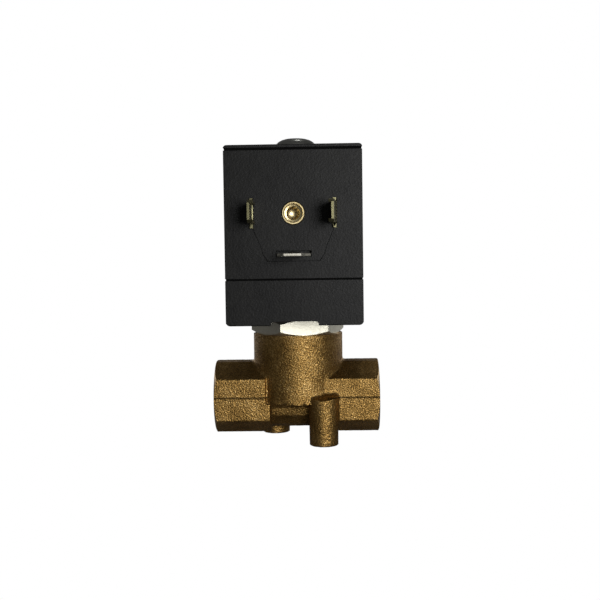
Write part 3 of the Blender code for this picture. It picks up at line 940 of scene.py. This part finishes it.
    def blast(self, shape: Mesh) -> None:
        """Raise the flash line and the foot's rim and dent the skin as shot does.

        Args:
            shape: the forging's mesh, which is changed.
        """
        scale = 1 / (self.blast_mm * MM)
        left, right = self.hex_inner
        shape.normal_update()
        for vert in shape.verts:
            x, y, z = (value / MM for value in vert.co)
            dent = noise.noise(vert.co * scale) + 0.5 * noise.noise(vert.co * scale * self.blast_swell)
            rise = self.blast_high * dent
            flash = 1 - abs(z - self.flash_z) / self.flash_half
            if flash > 0 and not left < x < right:
                rise += self.flash_high * flash
            foot = self.tower_foot + self.foot_rise * (self.tower_radius - abs(y))
            rim = 1 - abs(z - foot - self.rim_lift) / self.rim_half
            if rim > 0 and abs(math.hypot(x, y) - self.tower_radius) < self.rim_reach:
                rise += self.rim_high * rim
            vert.co += vert.normal * rise * MM

    def envelope(self) -> Mesh:
        """The turned envelope that faces and chamfers both port ends.

        Returns:
            A closed solid about the ports' axis.
        """
        reach = 4.0
        chamfer = reach * self.end_slope
        wide, far = self.end_radius + reach, 30.0
        low, high = self.low.x, self.high.x
        return turned([(0, low), (self.end_radius, low), (wide, low + chamfer), (far, low + chamfer),
                       (far, high - chamfer), (wide, high - chamfer), (self.end_radius, high),
                       (0, high)], Axis.X, steps=128)

    def thread(self, end: float) -> Mesh:
        """Cutter for a threaded socket: a screw surface closed at both ends.

        Args:
            end: the port face's X.

        Returns:
            A closed solid that reaches past the port face.
        """
        inward = -math.copysign(1, end)
        past = 1.0
        depth = abs(end) - self.port_floor
        start = 1.5 * self.thread_pitch
        steps_round = 64
        turns = math.ceil(depth / self.thread_pitch) + 3
        flank = self.thread_pitch * self.thread_flank
        crest = self.thread_pitch * 0.5 - flank
        profile = [(self.thread_minor, 0), (self.thread_minor, crest),
                   (self.thread_major, crest + flank), (self.thread_major, 2 * crest + flank),
                   (self.thread_minor, self.thread_pitch)]
        shape = bmesh.new()
        points = [shape.verts.new((radius * MM, 0, height * MM)) for radius, height in profile]
        lines = [shape.edges.new(pair) for pair in zip(points, points[1:])]
        bmesh.ops.spin(shape, geom=points + lines, cent=(0, 0, 0), axis=(0, 0, 1),
                       dvec=(0, 0, self.thread_pitch * MM / steps_round), angle=math.tau * turns,
                       steps=steps_round * turns, use_merge=False)
        bmesh.ops.remove_doubles(shape, verts=shape.verts, dist=10 * MERGE)
        for height, outward in ((start, -1), (start + depth + past, 1)):
            bmesh.ops.bisect_plane(shape, geom=shape.verts[:] + shape.edges[:] + shape.faces[:],
                                   dist=MERGE, plane_co=(0, 0, height * MM), plane_no=(0, 0, outward),
                                   clear_outer=True)
            rim = [edge for edge in shape.edges if edge.is_boundary
                   and all(abs(vert.co.z - height * MM) < 10 * MERGE for vert in edge.verts)]
            bmesh.ops.contextual_create(shape, geom=rim)
        lay = Matrix.Rotation(math.radians(90 * inward), 4, "Y")
        shift = Matrix.Translation(Vector((end - inward * past, 0, 0)) * MM)
        back = Matrix.Translation(Vector((0, 0, -start)) * MM)
        bmesh.ops.transform(shape, matrix=shift @ lay @ back, verts=shape.verts)
        bmesh.ops.recalc_face_normals(shape, faces=shape.faces)
        return shape

    def lead_in(self, end: float) -> Mesh:
        """The countersink at a port's mouth.

        Args:
            end: the port face's X.

        Returns:
            A cone that reaches past the port face.
        """
        inward = -math.copysign(1, end)
        wide, past = self.thread_major + self.thread_lead, 1.0
        bottom = end + inward * (wide - self.thread_minor)
        return turned([(0, end - inward * past), (wide + past, end - inward * past), (wide, end),
                       (self.thread_minor, bottom), (0, bottom)], Axis.X)

    def waterways(self) -> list[Mesh]:
        """Seat chamber with O-ring step and tower bore, orifice and the two flow ways.

        Returns:
            The cutters.
        """
        top = self.high.z + 1
        chamber = [(0, 6.5), (1.9, 6.5), (2.1, 6.35), (2.3, 6.5), (3.4, 5.1), (3.4, 2.5), (6.7, 2.5),
                   (6.7, 7.3), (8.0, 7.3), (8.0, top - 2), (9.0, top - 1), (9.0, top), (0, top)]
        floor = self.port_floor + 1
        return [turned(chamber), rod(self.orifice, self.outlet_way_z, 7.5, steps=48),
                rod(self.way_radius, -floor, -4.2, Axis.X, (0, 0, self.inlet_way_z), 48),
                rod(self.way_radius, -self.orifice, floor, Axis.X, (0, 0, self.outlet_way_z), 48)]

    def boss_holes(self) -> list[Mesh]:
        """Blind tapped holes in the bosses' feet.

        Returns:
            The cutters.
        """
        foot = self.low.z
        x, y = self.boss_place
        profile = [(0, foot - 1), (self.hole_mouth, foot - 1), (self.hole_radius, foot + 0.4),
                   (self.hole_radius, foot + self.hole_deep), (0, foot + self.hole_deep + 0.9)]
        return [turned(profile, centre=(-side * x, side * y, 0), steps=48) for side in (-1, 1)]

    def build(self) -> bpy.types.Object:
        """Forge, blast and machine the body.

        Returns:
            The finished body.
        """
        piece = self.forging()
        skin = bmesh.new()
        skin.from_mesh(piece.data)
        self.fillet(skin)
        self.blast(skin)
        skin.to_mesh(piece.data)
        skin.free()
        machining = as_object("machining", self.envelope(), MACHINED)
        clear = 40.0
        above = rounded_box((-clear, -clear, self.high.z), (clear, clear, self.high.z + 10))
        combine(machining, Join.CUT, [above], MACHINED)
        cutters = [self.thread(self.low.x), self.thread(self.high.x), self.lead_in(self.low.x),
                   self.lead_in(self.high.x), *self.waterways(), *self.boss_holes()]
        combine(machining, Join.CUT, cutters, MACHINED)
        combine(piece, Join.KEEP_COMMON, [as_shape(machining)], MACHINED)
        piece.name = "body_forging"
        return hand_over(piece, FORGED, "valve", "valve_body")


@dataclass
class TubeBase:
    """Steel hexagon that screws the tube into the tower.

    Attributes:
        across_flats: width from flat to flat.
        turn: degrees from a corner on +X.
        lift: gap between the tower's face and the hexagon.
        chamfer_radius: radius at which the corner chamfers start.
        chamfer_slope: their depth for each mm of radius.
        spigot_radius: radius of the threaded spigot below.
        bore: radius of the hole for the tube.
        edge: radius of its edges.
    """

    across_flats: float = 19.8
    turn: float = 10.3
    lift: float = 0.02
    chamfer_radius: float = 9.85
    chamfer_slope: float = 0.59
    spigot_radius: float = 7.7
    bore: float = 5.8
    edge: float = 0.1

    def build(self) -> bpy.types.Object:
        """The chamfered hexagon with its spigot, filling the space from tower to coil.

        Returns:
            The finished hexagon.
        """
        low, high = box_mm("tube_base")
        foot = box_mm("valve_body")[1].z + self.lift
        wide = self.across_flats / 2 + 2
        drop = self.chamfer_slope * (wide - self.chamfer_radius)
        piece = as_object("tube_base_hexagon",
                          extruded(hexagon(self.across_flats, foot, self.turn), (0, 0, high.z - foot)),
                          BASE_STEEL)
        envelope = turned([(0, foot), (self.chamfer_radius, foot), (wide, foot + drop),
                           (wide, high.z - drop), (self.chamfer_radius, high.z), (0, high.z)], steps=144)
        combine(piece, Join.KEEP_COMMON, [envelope], BASE_STEEL)
        combine(piece, Join.UNITE, [rod(self.spigot_radius, low.z, foot + 1)], BASE_STEEL)
        combine(piece, Join.CUT, [rod(self.bore, low.z - 1, high.z + 1)], BASE_STEEL)
        soften(piece, self.edge, 2)
        return hand_over(piece, BASE_STEEL, "valve", "tube_base", sharp=25.0)


@dataclass
class Coil:
    """Moulded coil casing with its base and its terminal block.

    Attributes:
        wall: thickness of the shells.
        corner: radius of the upright edges.
        edge: radius of the front and back edges.
        top_round: radius of the upper side edges.
        foot_round: radius of the lower side edges.
        swell_foot: how far the moulding reaches below its CAD box's lower part.
        swell_top: how far it reaches above.
        bore: radius of the hole for the tube.
        lip_low: distance of the lip line's lower side from the top.
        lip_high: distance of its upper side.
        lip_deep: its depth.
        seam: width of the seam between casing and base.
        seam_deep: its depth.
        block_gap: width of the gap about the terminal block.
        block_front: thickness of the block's front plate.
        recess: depth of the round recess for the hexagon.
        recess_radius: its radius.
        notch_half: half the width of the notch in the base's front edge.
        notch_high: its height.
        notch_deep: how far it runs back.
        notch_slope: how much each of its sides leans.
        tab_x: distance of the line tabs from the middle.
        insert_z: height of the insert and the line tabs.
        slot: half the width of a tab's slot.
        slot_deep: depth of its mouth.
        insert_room: radius of the insert's seat.
        insert_deep: depth of that seat.
        low: lower corner of the whole coil.
        high: its upper corner.
        seam_z: height of the seam's middle.
    """

    wall: float = 1.7
    corner: float = 0.8
    edge: float = 0.2
    top_round: float = 0.75
    foot_round: float = 0.95
    swell_foot: float = 0.2
    swell_top: float = 0.12
    bore: float = 5.8
    lip_low: float = 1.22
    lip_high: float = 0.66
    lip_deep: float = 0.14
    seam: float = 0.42
    seam_deep: float = 0.12
    block_gap: float = 0.1
    block_front: float = 2.4
    recess: float = 1.05
    recess_radius: float = 8.9
    notch_half: float = 5.1
    notch_high: float = 0.95
    notch_deep: float = 18.0
    notch_slope: float = 0.35
    tab_x: float = 9.0
    insert_z: float = 43.4
    slot: float = 0.42
    slot_deep: float = 1.7
    insert_room: float = 2.6
    insert_deep: float = 8.3
    low: Vector = field(init=False)
    high: Vector = field(init=False)
    seam_z: float = field(init=False)

    def __post_init__(self) -> None:
        """Read the coil's box from the frame."""
        self.low = box_mm("coil_base_cover")[0] - Vector((0, 0, self.swell_foot))
        self.high = box_mm("coil_casing")[1] + Vector((0, 0, self.swell_top))
        self.seam_z = (box_mm("coil_base_cover")[1].z + box_mm("coil_casing")[0].z) / 2

    def block_outline(self, y: float, grow: float = 0.0) -> list[Point]:
        """Outline of the terminal block: square about the line tabs, drawn in to the earth tab.

        Args:
            y: where the outline lies.
            grow: extra reach of the drawn-in sides, for the gap about the block.

        Returns:
            The outline's corners.
        """
        right = [(9.75, 47.4), (9.75, 41.6), (8.8 + grow, 40.3), (7.05 + grow, 36.2),
                 (6.6 + grow, 34.6), (5.6 + grow, 33.1 - grow)]
        return [(x, y, z) for x, z in right + [(-x, z) for x, z in reversed(right)]]

    def casing(self) -> bpy.types.Object:
        """The upper moulding: rounded box, lip line below the top painted near black as shade, window for
        the block.

        Returns:
            The finished casing.
        """
        low, high, deep, wall = self.low, self.high, self.lip_deep, self.wall
        piece = as_object("coil_moulding", rounded_box(low, high, self.corner, self.edge, self.top_round),
                          MOULDING)
        # The lip line's faces take the near-black groove finish: painted shade in the groove.
        lip = as_object("shaded_lip_line", rounded_box((low.x - 1, low.y - 1, high.z - self.lip_low),
                                                (high.x + 1, high.y + 1, high.z - self.lip_high)),
                        SHADED_GROOVE)
        combine(lip, Join.CUT, [rounded_box((low.x + deep, low.y + deep, low.z),
                                            (high.x - deep, high.y - deep, high.z + 1), self.corner)],
                SHADED_GROOVE)
        below = rounded_box((low.x - 1, low.y - 1, low.z - 1),
                            (high.x + 1, high.y + 1, self.seam_z + self.seam / 2))
        combine(piece, Join.CUT, [below], MOULDING)
        combine(piece, Join.CUT, [as_shape(lip)], SHADED_GROOVE)
        soften(piece, 0.08, 2)
        combine(piece, Join.CUT, [rounded_box((low.x + wall, low.y + wall, low.z - 1),
                                              (high.x - wall, high.y - wall, high.z - wall)),
                                  rod(self.bore, high.z - wall - 1, high.z + 1),
                                  extruded(self.block_outline(low.y - 1, self.block_gap),
                                           (0, wall + 2, 0))], MOULDING)
        return hand_over(piece, MOULDING, "coil", "coil_casing", sharp=30.0)

    def notch(self) -> Mesh:
        """Cutter for the notch under the base, its sides leaning out and then upright.

        Returns:
            The cutter.
        """
        y, foot = self.low.y - 1, self.low.z
        half, lean, high = self.notch_half, self.notch_slope, self.notch_high
        left = [(-half - lean, y, foot - 0.5), (-half, y, foot + high * 0.6), (-half + lean, y, foot + high)]
        return extruded(left + [(-x, y, z) for x, y, z in reversed(left)], (0, self.notch_deep + 1, 0))

    def cover(self) -> bpy.types.Object:
        """The lower moulding, with the tongue behind the seam painted near black as shade, and the notch in
        its front edge.

        Returns:
            The finished base.
        """
        low, high, deep, wall = self.low, self.high, self.seam_deep, self.wall
        top = self.seam_z - self.seam / 2
        piece = as_object("coil_foot_moulding",
                          rounded_box(low, high, self.corner, self.edge, self.foot_round), MOULDING)
        above = rounded_box((low.x - 1, low.y - 1, top), (high.x + 1, high.y + 1, high.z + 1))
        combine(piece, Join.CUT, [above], MOULDING)
        soften(piece, 0.1, 2)
        # The tongue shows in the seam and takes the near-black groove finish: painted shade in the seam.
        tongue = rounded_box((low.x + deep, low.y + deep, low.z + 2),
                             (high.x - deep, high.y - deep, top + self.seam - 0.01), self.corner)
        combine(piece, Join.UNITE, [tongue], SHADED_GROOVE)
        hollow = rounded_box((low.x + wall, low.y + wall, low.z + wall),
                             (high.x - wall, high.y - wall, high.z))
        combine(piece, Join.CUT, [hollow, rod(self.bore, low.z - 1, low.z + wall + 1),
                                  rod(self.recess_radius, low.z - 1, low.z + self.recess), self.notch()],
                MOULDING)
        return hand_over(piece, MOULDING, "coil", "coil_base_cover", sharp=30.0)

    def block(self) -> bpy.types.Object:
        """The terminal block, flush in the casing's window, with its slots and insert seat.

        Returns:
            The finished block.
        """
        low, high = box_mm("terminal_block")
        before, behind, mouth = low.y - 1, high.y + 1, low.y + self.slot_deep
        piece = as_object("terminal_carrier",
                          extruded(self.block_outline(low.y), (0, self.block_front, 0)), MOULDING)
        back = rounded_box((low.x + 0.5, low.y + 2.0, low.z + 0.5), (high.x - 0.5, high.y, high.z - 0.5))
        combine(piece, Join.UNITE, [back], MOULDING)
        cuts = [rod(self.insert_room, before, low.y + self.insert_deep, Axis.Y, (0, 0, self.insert_z), 64)]
        for middle in (-self.tab_x, self.tab_x):
            for tall, end in ((3.3, mouth), (1.3, behind)):
                cuts.append(rounded_box((middle - self.slot, before, self.insert_z - tall),
                                        (middle + self.slot, end, self.insert_z + tall)))
        earth = box_mm("earth_terminal")
        foot, middle = (earth[0].z + earth[1].z) / 2 - self.slot, (earth[0].z + earth[1].z) / 2
        for half, end, tall in ((3.85, mouth, 0.95), (1.3, behind, 0.6)):
            cuts.append(rounded_box((-half, before, foot), (half, end, middle + tall)))
        combine(piece, Join.CUT, cuts, MOULDING)
        return hand_over(piece, MOULDING, "coil", "terminal_block", sharp=30.0)

    def build(self) -> None:
        """Make the three mouldings."""
        for make in (self.casing, self.cover, self.block):
            make()


@dataclass
class Terminals:
    """Hemmed line tabs, earth tab and screw insert.

    Attributes:
        thick: thickness of the strip.
        hem_reach: how far a folded edge reaches in.
        hem_high: height of a folded edge.
        tab_half: half the width of a tab.
        tab_x: distance of the line tabs from the middle.
        nose: chamfer of a line tab's tip.
        lean: how far the right tab's tip is bent in.
        lean_left: how far the left tab's tip is bent in.
        earth_nose: chamfer of the earth tab's tip.
        rim: width of the insert's flat rim.
        bore: inner radius of its thread.
        thread_major: outer radius of its thread.
        thread_pitch: pitch of its thread.
        deep: depth of its hole.
        face: Y of the terminal block's face.
    """

    thick: float = 0.5
    hem_reach: float = 1.1
    hem_high: float = 0.62
    tab_half: float = 2.35
    tab_x: float = 9.0
    nose: float = 0.7
    lean: float = 0.75
    lean_left: float = 0.2
    earth_nose: float = 0.5
    rim: float = 0.2
    bore: float = 1.28
    thread_major: float = 1.45
    thread_pitch: float = 0.5
    deep: float = 4.2
    face: float = field(init=False)

    def __post_init__(self) -> None:
        """Read the terminal block's face from the frame."""
        self.face = box_mm("terminal_block")[0].y

    def line_tab(self, side: int) -> bpy.types.Object:
        """One line tab: a strip whose long edges are folded over towards the middle.

        Args:
            side: -1 for the left tab, 1 for the right one.

        Returns:
            The finished tab.
        """
        name = "left" if side < 0 else "right"
        low, high = box_mm(f"terminal_{name}")
        middle = (low.z + high.z) / 2
        outer = high.x if side > 0 else low.x
        web = outer - side * self.thick
        hem = outer - side * self.hem_reach
        foot, top = middle - self.tab_half, middle + self.tab_half
        section = [(outer, foot), (hem, foot), (hem, foot + self.hem_high), (web, foot + self.hem_high),
                   (web, top - self.hem_high), (hem, top - self.hem_high), (hem, top), (outer, top)]
        face = self.face
        piece = as_object(f"line_tab_{name}",
                          extruded([(x, low.y, z) for x, z in section], (0, face - 0.5 - low.y, 0)), TIN)
        centre, half = side * self.tab_x, 0.35
        combine(piece, Join.UNITE,
                [rounded_box((centre - half, face - 0.9, low.z), (centre + half, face + 1.4, high.z)),
                 rounded_box((centre - half, face, middle - 1.2), (centre + half, high.y, middle + 1.2))],
                TIN)
        corner = [(outer + side, low.y - 0.1, top + 0.1), (outer + side, low.y + self.nose, top + 0.1),
                  (outer + side, low.y - 0.1, top - self.nose)]
        other = [(x, y, 2 * middle - z) for x, y, z in corner]
        combine(piece, Join.CUT, [extruded(part, (-side * 4, 0, 0)) for part in (corner, other)], TIN)
        soften(piece, 0.12, 2)
        tip_shift = -self.lean if side > 0 else self.lean_left
        for vert in piece.data.vertices:
            along = (face - vert.co.y / MM) / (face - low.y)
            if along > 0:
                vert.co.x += tip_shift * along * MM
        return hand_over(piece, TIN, "coil", f"terminal_{name}", sharp=30.0)

    def earth_tab(self) -> bpy.types.Object:
        """The flat earth tab, its nose chamfered all round.

        Returns:
            The finished tab.
        """
        low, high = box_mm("earth_terminal")
        face, nose, half = self.face, self.earth_nose, self.tab_half
        right = [(half - nose, low.y), (half, low.y + nose * 2), (half, face - 0.9), (high.x, face + 0.2),
                 (high.x, face + 1.4), (1.2, face + 1.4), (1.2, high.y)]
        left = [(-x, y) for x, y in right]
        outline = [left[0], *right, *reversed(left[1:])]
        # The earth tab takes the lighter copy of the tin: a painted highlight on its end.
        piece = as_object("earth_tab", extruded([(x, y, low.z) for x, y in outline],
                                                (0, 0, high.z - low.z)), LIT_TIN)
        soften(piece, 0.18, 3)
        return hand_over(piece, LIT_TIN, "coil", "earth_terminal", sharp=30.0)

    def insert(self) -> bpy.types.Object:
        """The brass screw insert: stepped countersink, thread inside, flat rim.

        Returns:
            The finished insert.
        """
        low, high = box_mm("connector_insert")
        centre = ((low.x + high.x) / 2, 0.0, (low.z + high.z) / 2)
        outer, front, pitch = (high.x - low.x) / 2, low.y, self.thread_pitch
        floor = front + self.deep
        turns = int((floor - front - 1.4) / pitch)
        bore = [point for turn in range(turns) for point in
                ((self.bore, floor - (turn + 0.5) * pitch), (self.thread_major, floor - (turn + 1) * pitch))]
        steps = [(1.32, 1.1), (1.5, 0.85), (1.9, 0.75), (2.0, 0.12), (2.1, 0.0)]
        profile = [(0, floor + 0.75), (self.bore, floor), *bore,
                   *[(radius, front + depth) for radius, depth in steps],
                   (outer - self.rim, front), (outer, front + self.rim), (outer, high.y), (0, high.y)]
        piece = as_object("screw_insert", turned(profile, Axis.Y, centre, 64), INSERT_BRASS)
        return hand_over(piece, INSERT_BRASS, "coil", "connector_insert", sharp=28.0)

    def build(self) -> None:
        """Make both line tabs, the earth tab and the insert."""
        for side in (-1, 1):
            self.line_tab(side)
        self.earth_tab()
        self.insert()


@dataclass
class Fastening:
    """Domed nut, spring washer and gaskets that hold the coil on the tube.

    Attributes:
        dome: the nut's dome, as radii and drops from its top.
        sink: how far the dome's top lies below its CAD box.
        hex_flats: width of the nut's hexagon.
        hex_high: its height.
        hex_turn: degrees from a corner on +X.
        bore: radius of the stud's hole.
        ring_inner: inner radius of the washer and the upper gasket.
        gasket_inner: inner radius of the lower gasket.
    """

    dome: tuple[tuple[float, float], ...] = ((4.95, 1.75), (4.78, 1.45), (4.6, 1.18), (4.3, 0.93),
                                             (3.94, 0.69), (3.47, 0.45), (2.64, 0.2), (1.5, 0.06))
    sink: float = 0.25
    hex_flats: float = 11.0
    hex_high: float = 0.7
    hex_turn: float = 8.0
    bore: float = 3.2
    ring_inner: float = 3.3
    gasket_inner: float = 5.8

    def nut(self) -> bpy.types.Object:
        """The cap nut: low hexagon below, stepped dome above.

        Returns:
            The finished nut.
        """
        low, high = box_mm("coil_nut")
        top, foot = high.z - self.sink, low.z
        profile = [(0, foot), (self.dome[0][0], foot), *[(r, top - drop) for r, drop in self.dome], (0, top)]
        piece = as_object("cap_nut", turned(profile, steps=128), NUT_STEEL)
        collar = as_object("nut_hexagon", extruded(hexagon(self.hex_flats, foot, self.hex_turn),
                                                   (0, 0, self.hex_high)), NUT_STEEL)
        shoulder = foot + self.hex_high
        combine(collar, Join.KEEP_COMMON, [turned([(0, foot), (6.2, foot), (6.2, shoulder - 0.25),
                                                   (5.45, shoulder), (0, shoulder)])], NUT_STEEL)
        combine(piece, Join.UNITE, [as_shape(collar)], NUT_STEEL)
        combine(piece, Join.CUT, [rod(self.bore, foot - 1, high.z - 1.4)], NUT_STEEL)
        return hand_over(piece, NUT_STEEL, "valve", "coil_nut")

    @staticmethod
    def ring(name: str, node: str, inner: float, finish: Finish, edge: float) -> bpy.types.Object:
        """A flat ring with rounded edges in place of a CAD ring.

        Args:
            name: the piece's name.
            node: the CAD node that it replaces.
            inner: inner radius.
            finish: its finish.
            edge: radius of its edges.

        Returns:
            The finished ring.
        """
        low, high = box_mm(node)
        outer = (high.y - low.y) / 2
        piece = as_object(name, turned([(inner, low.z), (outer, low.z), (outer, high.z), (inner, high.z)]),
                          finish)
        soften(piece, edge, 3)
        return hand_over(piece, finish, "valve", node)

    def build(self) -> None:
        """Make the nut, the washer and both gaskets."""
        self.nut()
        self.ring("lock_washer", "spring_washer", self.ring_inner, ZINC, 0.08)
        self.ring("upper_gasket", "coil_top_gasket", self.ring_inner, RUBBER, 0.15)
        self.ring("lower_gasket", "coil_bottom_gasket", self.gasket_inner, RUBBER, 0.15)


@dataclass
class ReturnSpring:
    """Coil spring between the plunger and the fixed core.

    Attributes:
        radius: mean radius of the turns.
        wire: radius of the wire.
        end_pitch: pitch of the closed turn at each end.
        active_turns: turns between them.
        steps: steps in a turn.
        lift: how far the plunger rises; not used.
    """

    radius: float = 2.0
    wire: float = 0.25
    end_pitch: float = 0.55
    active_turns: int = 6
    steps: int = 32
    lift: float = 1.5

    def build(self) -> bpy.types.Object:
        """Wind the spring with a closed turn at each end.

        Returns:
            The finished spring.
        """
        low, high = box_mm("return_spring")
        body = high.z - low.z - 2 * self.wire - 2 * self.end_pitch
        shape = bmesh.new()
        stand = Matrix.Translation(Vector((self.radius, 0, low.z + self.wire)) * MM)
        start = bmesh.ops.create_circle(shape, cap_ends=False, segments=12, radius=self.wire * MM,
                                        matrix=stand @ Matrix.Rotation(math.radians(90), 4, "X"))
        first = list({edge for vert in start["verts"] for edge in vert.link_edges})
        ring = start["verts"] + first
        for turns, rise in ((1, self.end_pitch), (self.active_turns, body), (1, self.end_pitch)):
            steps = self.steps * turns
            ring = bmesh.ops.spin(shape, geom=ring, cent=(0, 0, 0), axis=(0, 0, 1), steps=steps,
                                  dvec=(0, 0, rise * MM / steps), angle=math.tau * turns,
                                  use_merge=False)["geom_last"]
        last = [part for part in ring if isinstance(part, bmesh.types.BMEdge)]
        bmesh.ops.contextual_create(shape, geom=first)
        bmesh.ops.contextual_create(shape, geom=last)
        bmesh.ops.recalc_face_normals(shape, faces=shape.faces)
        piece = hand_over(as_object("plunger_spring", shape, SPRING_STEEL), SPRING_STEEL, "valve",
                          "return_spring")
        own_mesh(piece)
        return piece


class InnerPieces:
    """Pieces inside the tube and the coil, whose CAD shape stays."""

    finishes: dict[str, Finish] = {
        "body_o_ring": RUBBER, "guide_tube": BASE_STEEL, "fixed_core": CORE_STEEL,
        "shading_ring": COPPER, "plunger": CORE_STEEL, "plunger_seal": RUBBER,
        "bobbin": NYLON, "winding": COPPER, "winding_tape": FILM,
        "yoke": ZINC, "earth_strap": TIN, "lead_left": COPPER, "lead_right": COPPER,
    }

    def dress(self) -> None:
        """Give each inner CAD node its finish."""
        for node, finish in self.finishes.items():
            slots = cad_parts[node].data.materials
            slots.clear()
            slots.append(finish.material())
            LOG.info("%s: %s", node, finish.name)


@dataclass(frozen=True)
class SoftBox:
    """A square soft box that faces the valve.

    Attributes:
        name: the light's name.
        azimuth: degrees from -Y towards +X.
        elevation: degrees above level.
        distance: metres from the valve.
        size: side of the box, in metres.
        power: watts.
    """

    name: str
    azimuth: float
    elevation: float
    distance: float
    size: float
    power: float

    def place(self, aim: Vector) -> None:
        """Set the light up.

        Args:
            aim: the point that it faces.
        """
        data = bpy.data.lights.new(self.name, "AREA")
        data.shape = "SQUARE"
        data.size = self.size
        data.energy = self.power
        around, up = math.radians(self.azimuth), math.radians(self.elevation)
        away = Vector((math.sin(around) * math.cos(up), -math.cos(around) * math.cos(up), math.sin(up)))
        lamp = bpy.data.objects.new(self.name, data)
        lamp.location = away * self.distance + aim
        lamp.rotation_euler = away.to_track_quat("Z", "Y").to_euler()
        bpy.context.scene.collection.objects.link(lamp)


@dataclass
class Studio:
    """Camera, pale floor, white surroundings and soft light from the front right.

    Attributes:
        camera_place: where the camera stands.
        camera_yaw: degrees that it turns to its left.
        camera_pitch: degrees that it looks down.
        camera_roll: degrees that it rolls clockwise.
        camera_lens: focal length on a 36 mm sensor.
        floor_gap: metres from the lowest point down to the floor.
        floor_radius: radius of the floor, in metres.
        floor_colour: the floor's colour as the valve sees it.
        white: the surroundings' colour.
        dim: strength of the surroundings as a light.
        lit_height: height of the point that the lights face.
        boxes: a frontal key, two rim lights behind, and a small one above for the nut's glint.
    """

    camera_place: Point = (5.796, -217.17, 33.76)
    camera_yaw: float = 1.372
    camera_pitch: float = 2.736
    camera_roll: float = 0.784
    camera_lens: float = 53.09
    floor_gap: float = 0.0002
    floor_radius: float = 3.0
    floor_colour: str = "#959595"
    white: str = "#FFFFFF"
    dim: float = 0.1
    lit_height: float = 25.0
    boxes: tuple[SoftBox, ...] = (SoftBox("key", 20.0, 3.0, 0.5, 0.17, 1.6),
                                  SoftBox("back_right", 140.0, 6.0, 0.8, 0.6, 1.35),
                                  SoftBox("back_left", -148.0, 5.0, 0.8, 0.5, 1.1),
                                  SoftBox("ceiling", 168.0, 71.0, 0.2, 0.02, 0.012))

    def camera(self) -> None:
        """A level camera, turned a little to its left and rolled clockwise."""
        data = bpy.data.cameras.new("camera")
        data.sensor_width = 36.0
        data.lens = self.camera_lens
        data.clip_start, data.clip_end = 0.01, 20.0
        aim = (Matrix.Rotation(math.radians(self.camera_yaw), 4, "Z")
               @ Matrix.Rotation(math.radians(90 - self.camera_pitch), 4, "X")
               @ Matrix.Rotation(math.radians(-self.camera_roll), 4, "Z"))
        view = bpy.data.objects.new("camera", data)
        view.matrix_world = Matrix.Translation(Vector(self.camera_place) * MM) @ aim
        bpy.context.scene.collection.objects.link(view)
        bpy.context.scene.camera = view

    def floor(self) -> None:
        """A plain pale floor under the bosses."""
        shape = bmesh.new()
        bmesh.ops.create_circle(shape, cap_ends=True, segments=64, radius=self.floor_radius)
        bmesh.ops.translate(shape, vec=(0, 0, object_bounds()[0].z - self.floor_gap), verts=shape.verts)
        mesh = bpy.data.meshes.new("floor")
        shape.to_mesh(mesh)
        shape.free()
        material = bpy.data.materials.new("pale_floor")
        material.use_nodes = True
        tree = material.node_tree
        shader = tree.nodes["Principled BSDF"]
        shader.inputs["Base Color"].default_value = linear(self.floor_colour)
        shader.inputs["Roughness"].default_value = 0.9
        glow = add_node(tree, "Emission", {"Color": linear(self.white), "Strength": 1.0})
        path = add_node(tree, "LightPath")
        mixed = add_node(tree, "MixShader", {}, {0: path.outputs["Is Camera Ray"],
                                                 1: shader.outputs["BSDF"], 2: glow.outputs[0]})
        tree.links.new(mixed.outputs[0], tree.nodes["Material Output"].inputs["Surface"])
        mesh.materials.append(material)
        floor = bpy.data.objects.new("floor", mesh)
        bpy.context.scene.collection.objects.link(floor)
        floor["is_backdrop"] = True

    def world(self) -> None:
        """White to look at, dim as a light."""
        world = bpy.data.worlds.new("studio")
        bpy.context.scene.world = world
        world.use_nodes = True
        tree = world.node_tree
        tree.nodes.clear()
        path = add_node(tree, "LightPath")
        dim = add_node(tree, "Background", {"Color": linear(self.white), "Strength": self.dim})
        bright = add_node(tree, "Background", {"Color": linear(self.white), "Strength": 1.0})
        mixed = add_node(tree, "MixShader", {}, {0: path.outputs["Is Camera Ray"],
                                                 1: dim.outputs[0], 2: bright.outputs[0]})
        out = add_node(tree, "OutputWorld", {}, {0: mixed.outputs[0]})
        out.is_active_output = True

    def build(self) -> None:
        """Set up the whole studio."""
        self.camera()
        self.floor()
        self.world()
        for box in self.boxes:
            box.place(Vector((0, 0, self.lit_height * MM)))
        bpy.context.scene.view_settings.view_transform = "Standard"


def main() -> None:
    """Build the valve around its frame, then the studio."""
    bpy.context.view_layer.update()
    for assembly in (ValveBody(), TubeBase(), Coil(), Terminals(), Fastening(), ReturnSpring()):
        assembly.build()
        LOG.info("%s is complete", type(assembly).__name__)
    InnerPieces().dress()
    Studio().build()


if __name__ == "__main__":
    logging.basicConfig(level=logging.INFO, format="%(message)s")
    main()
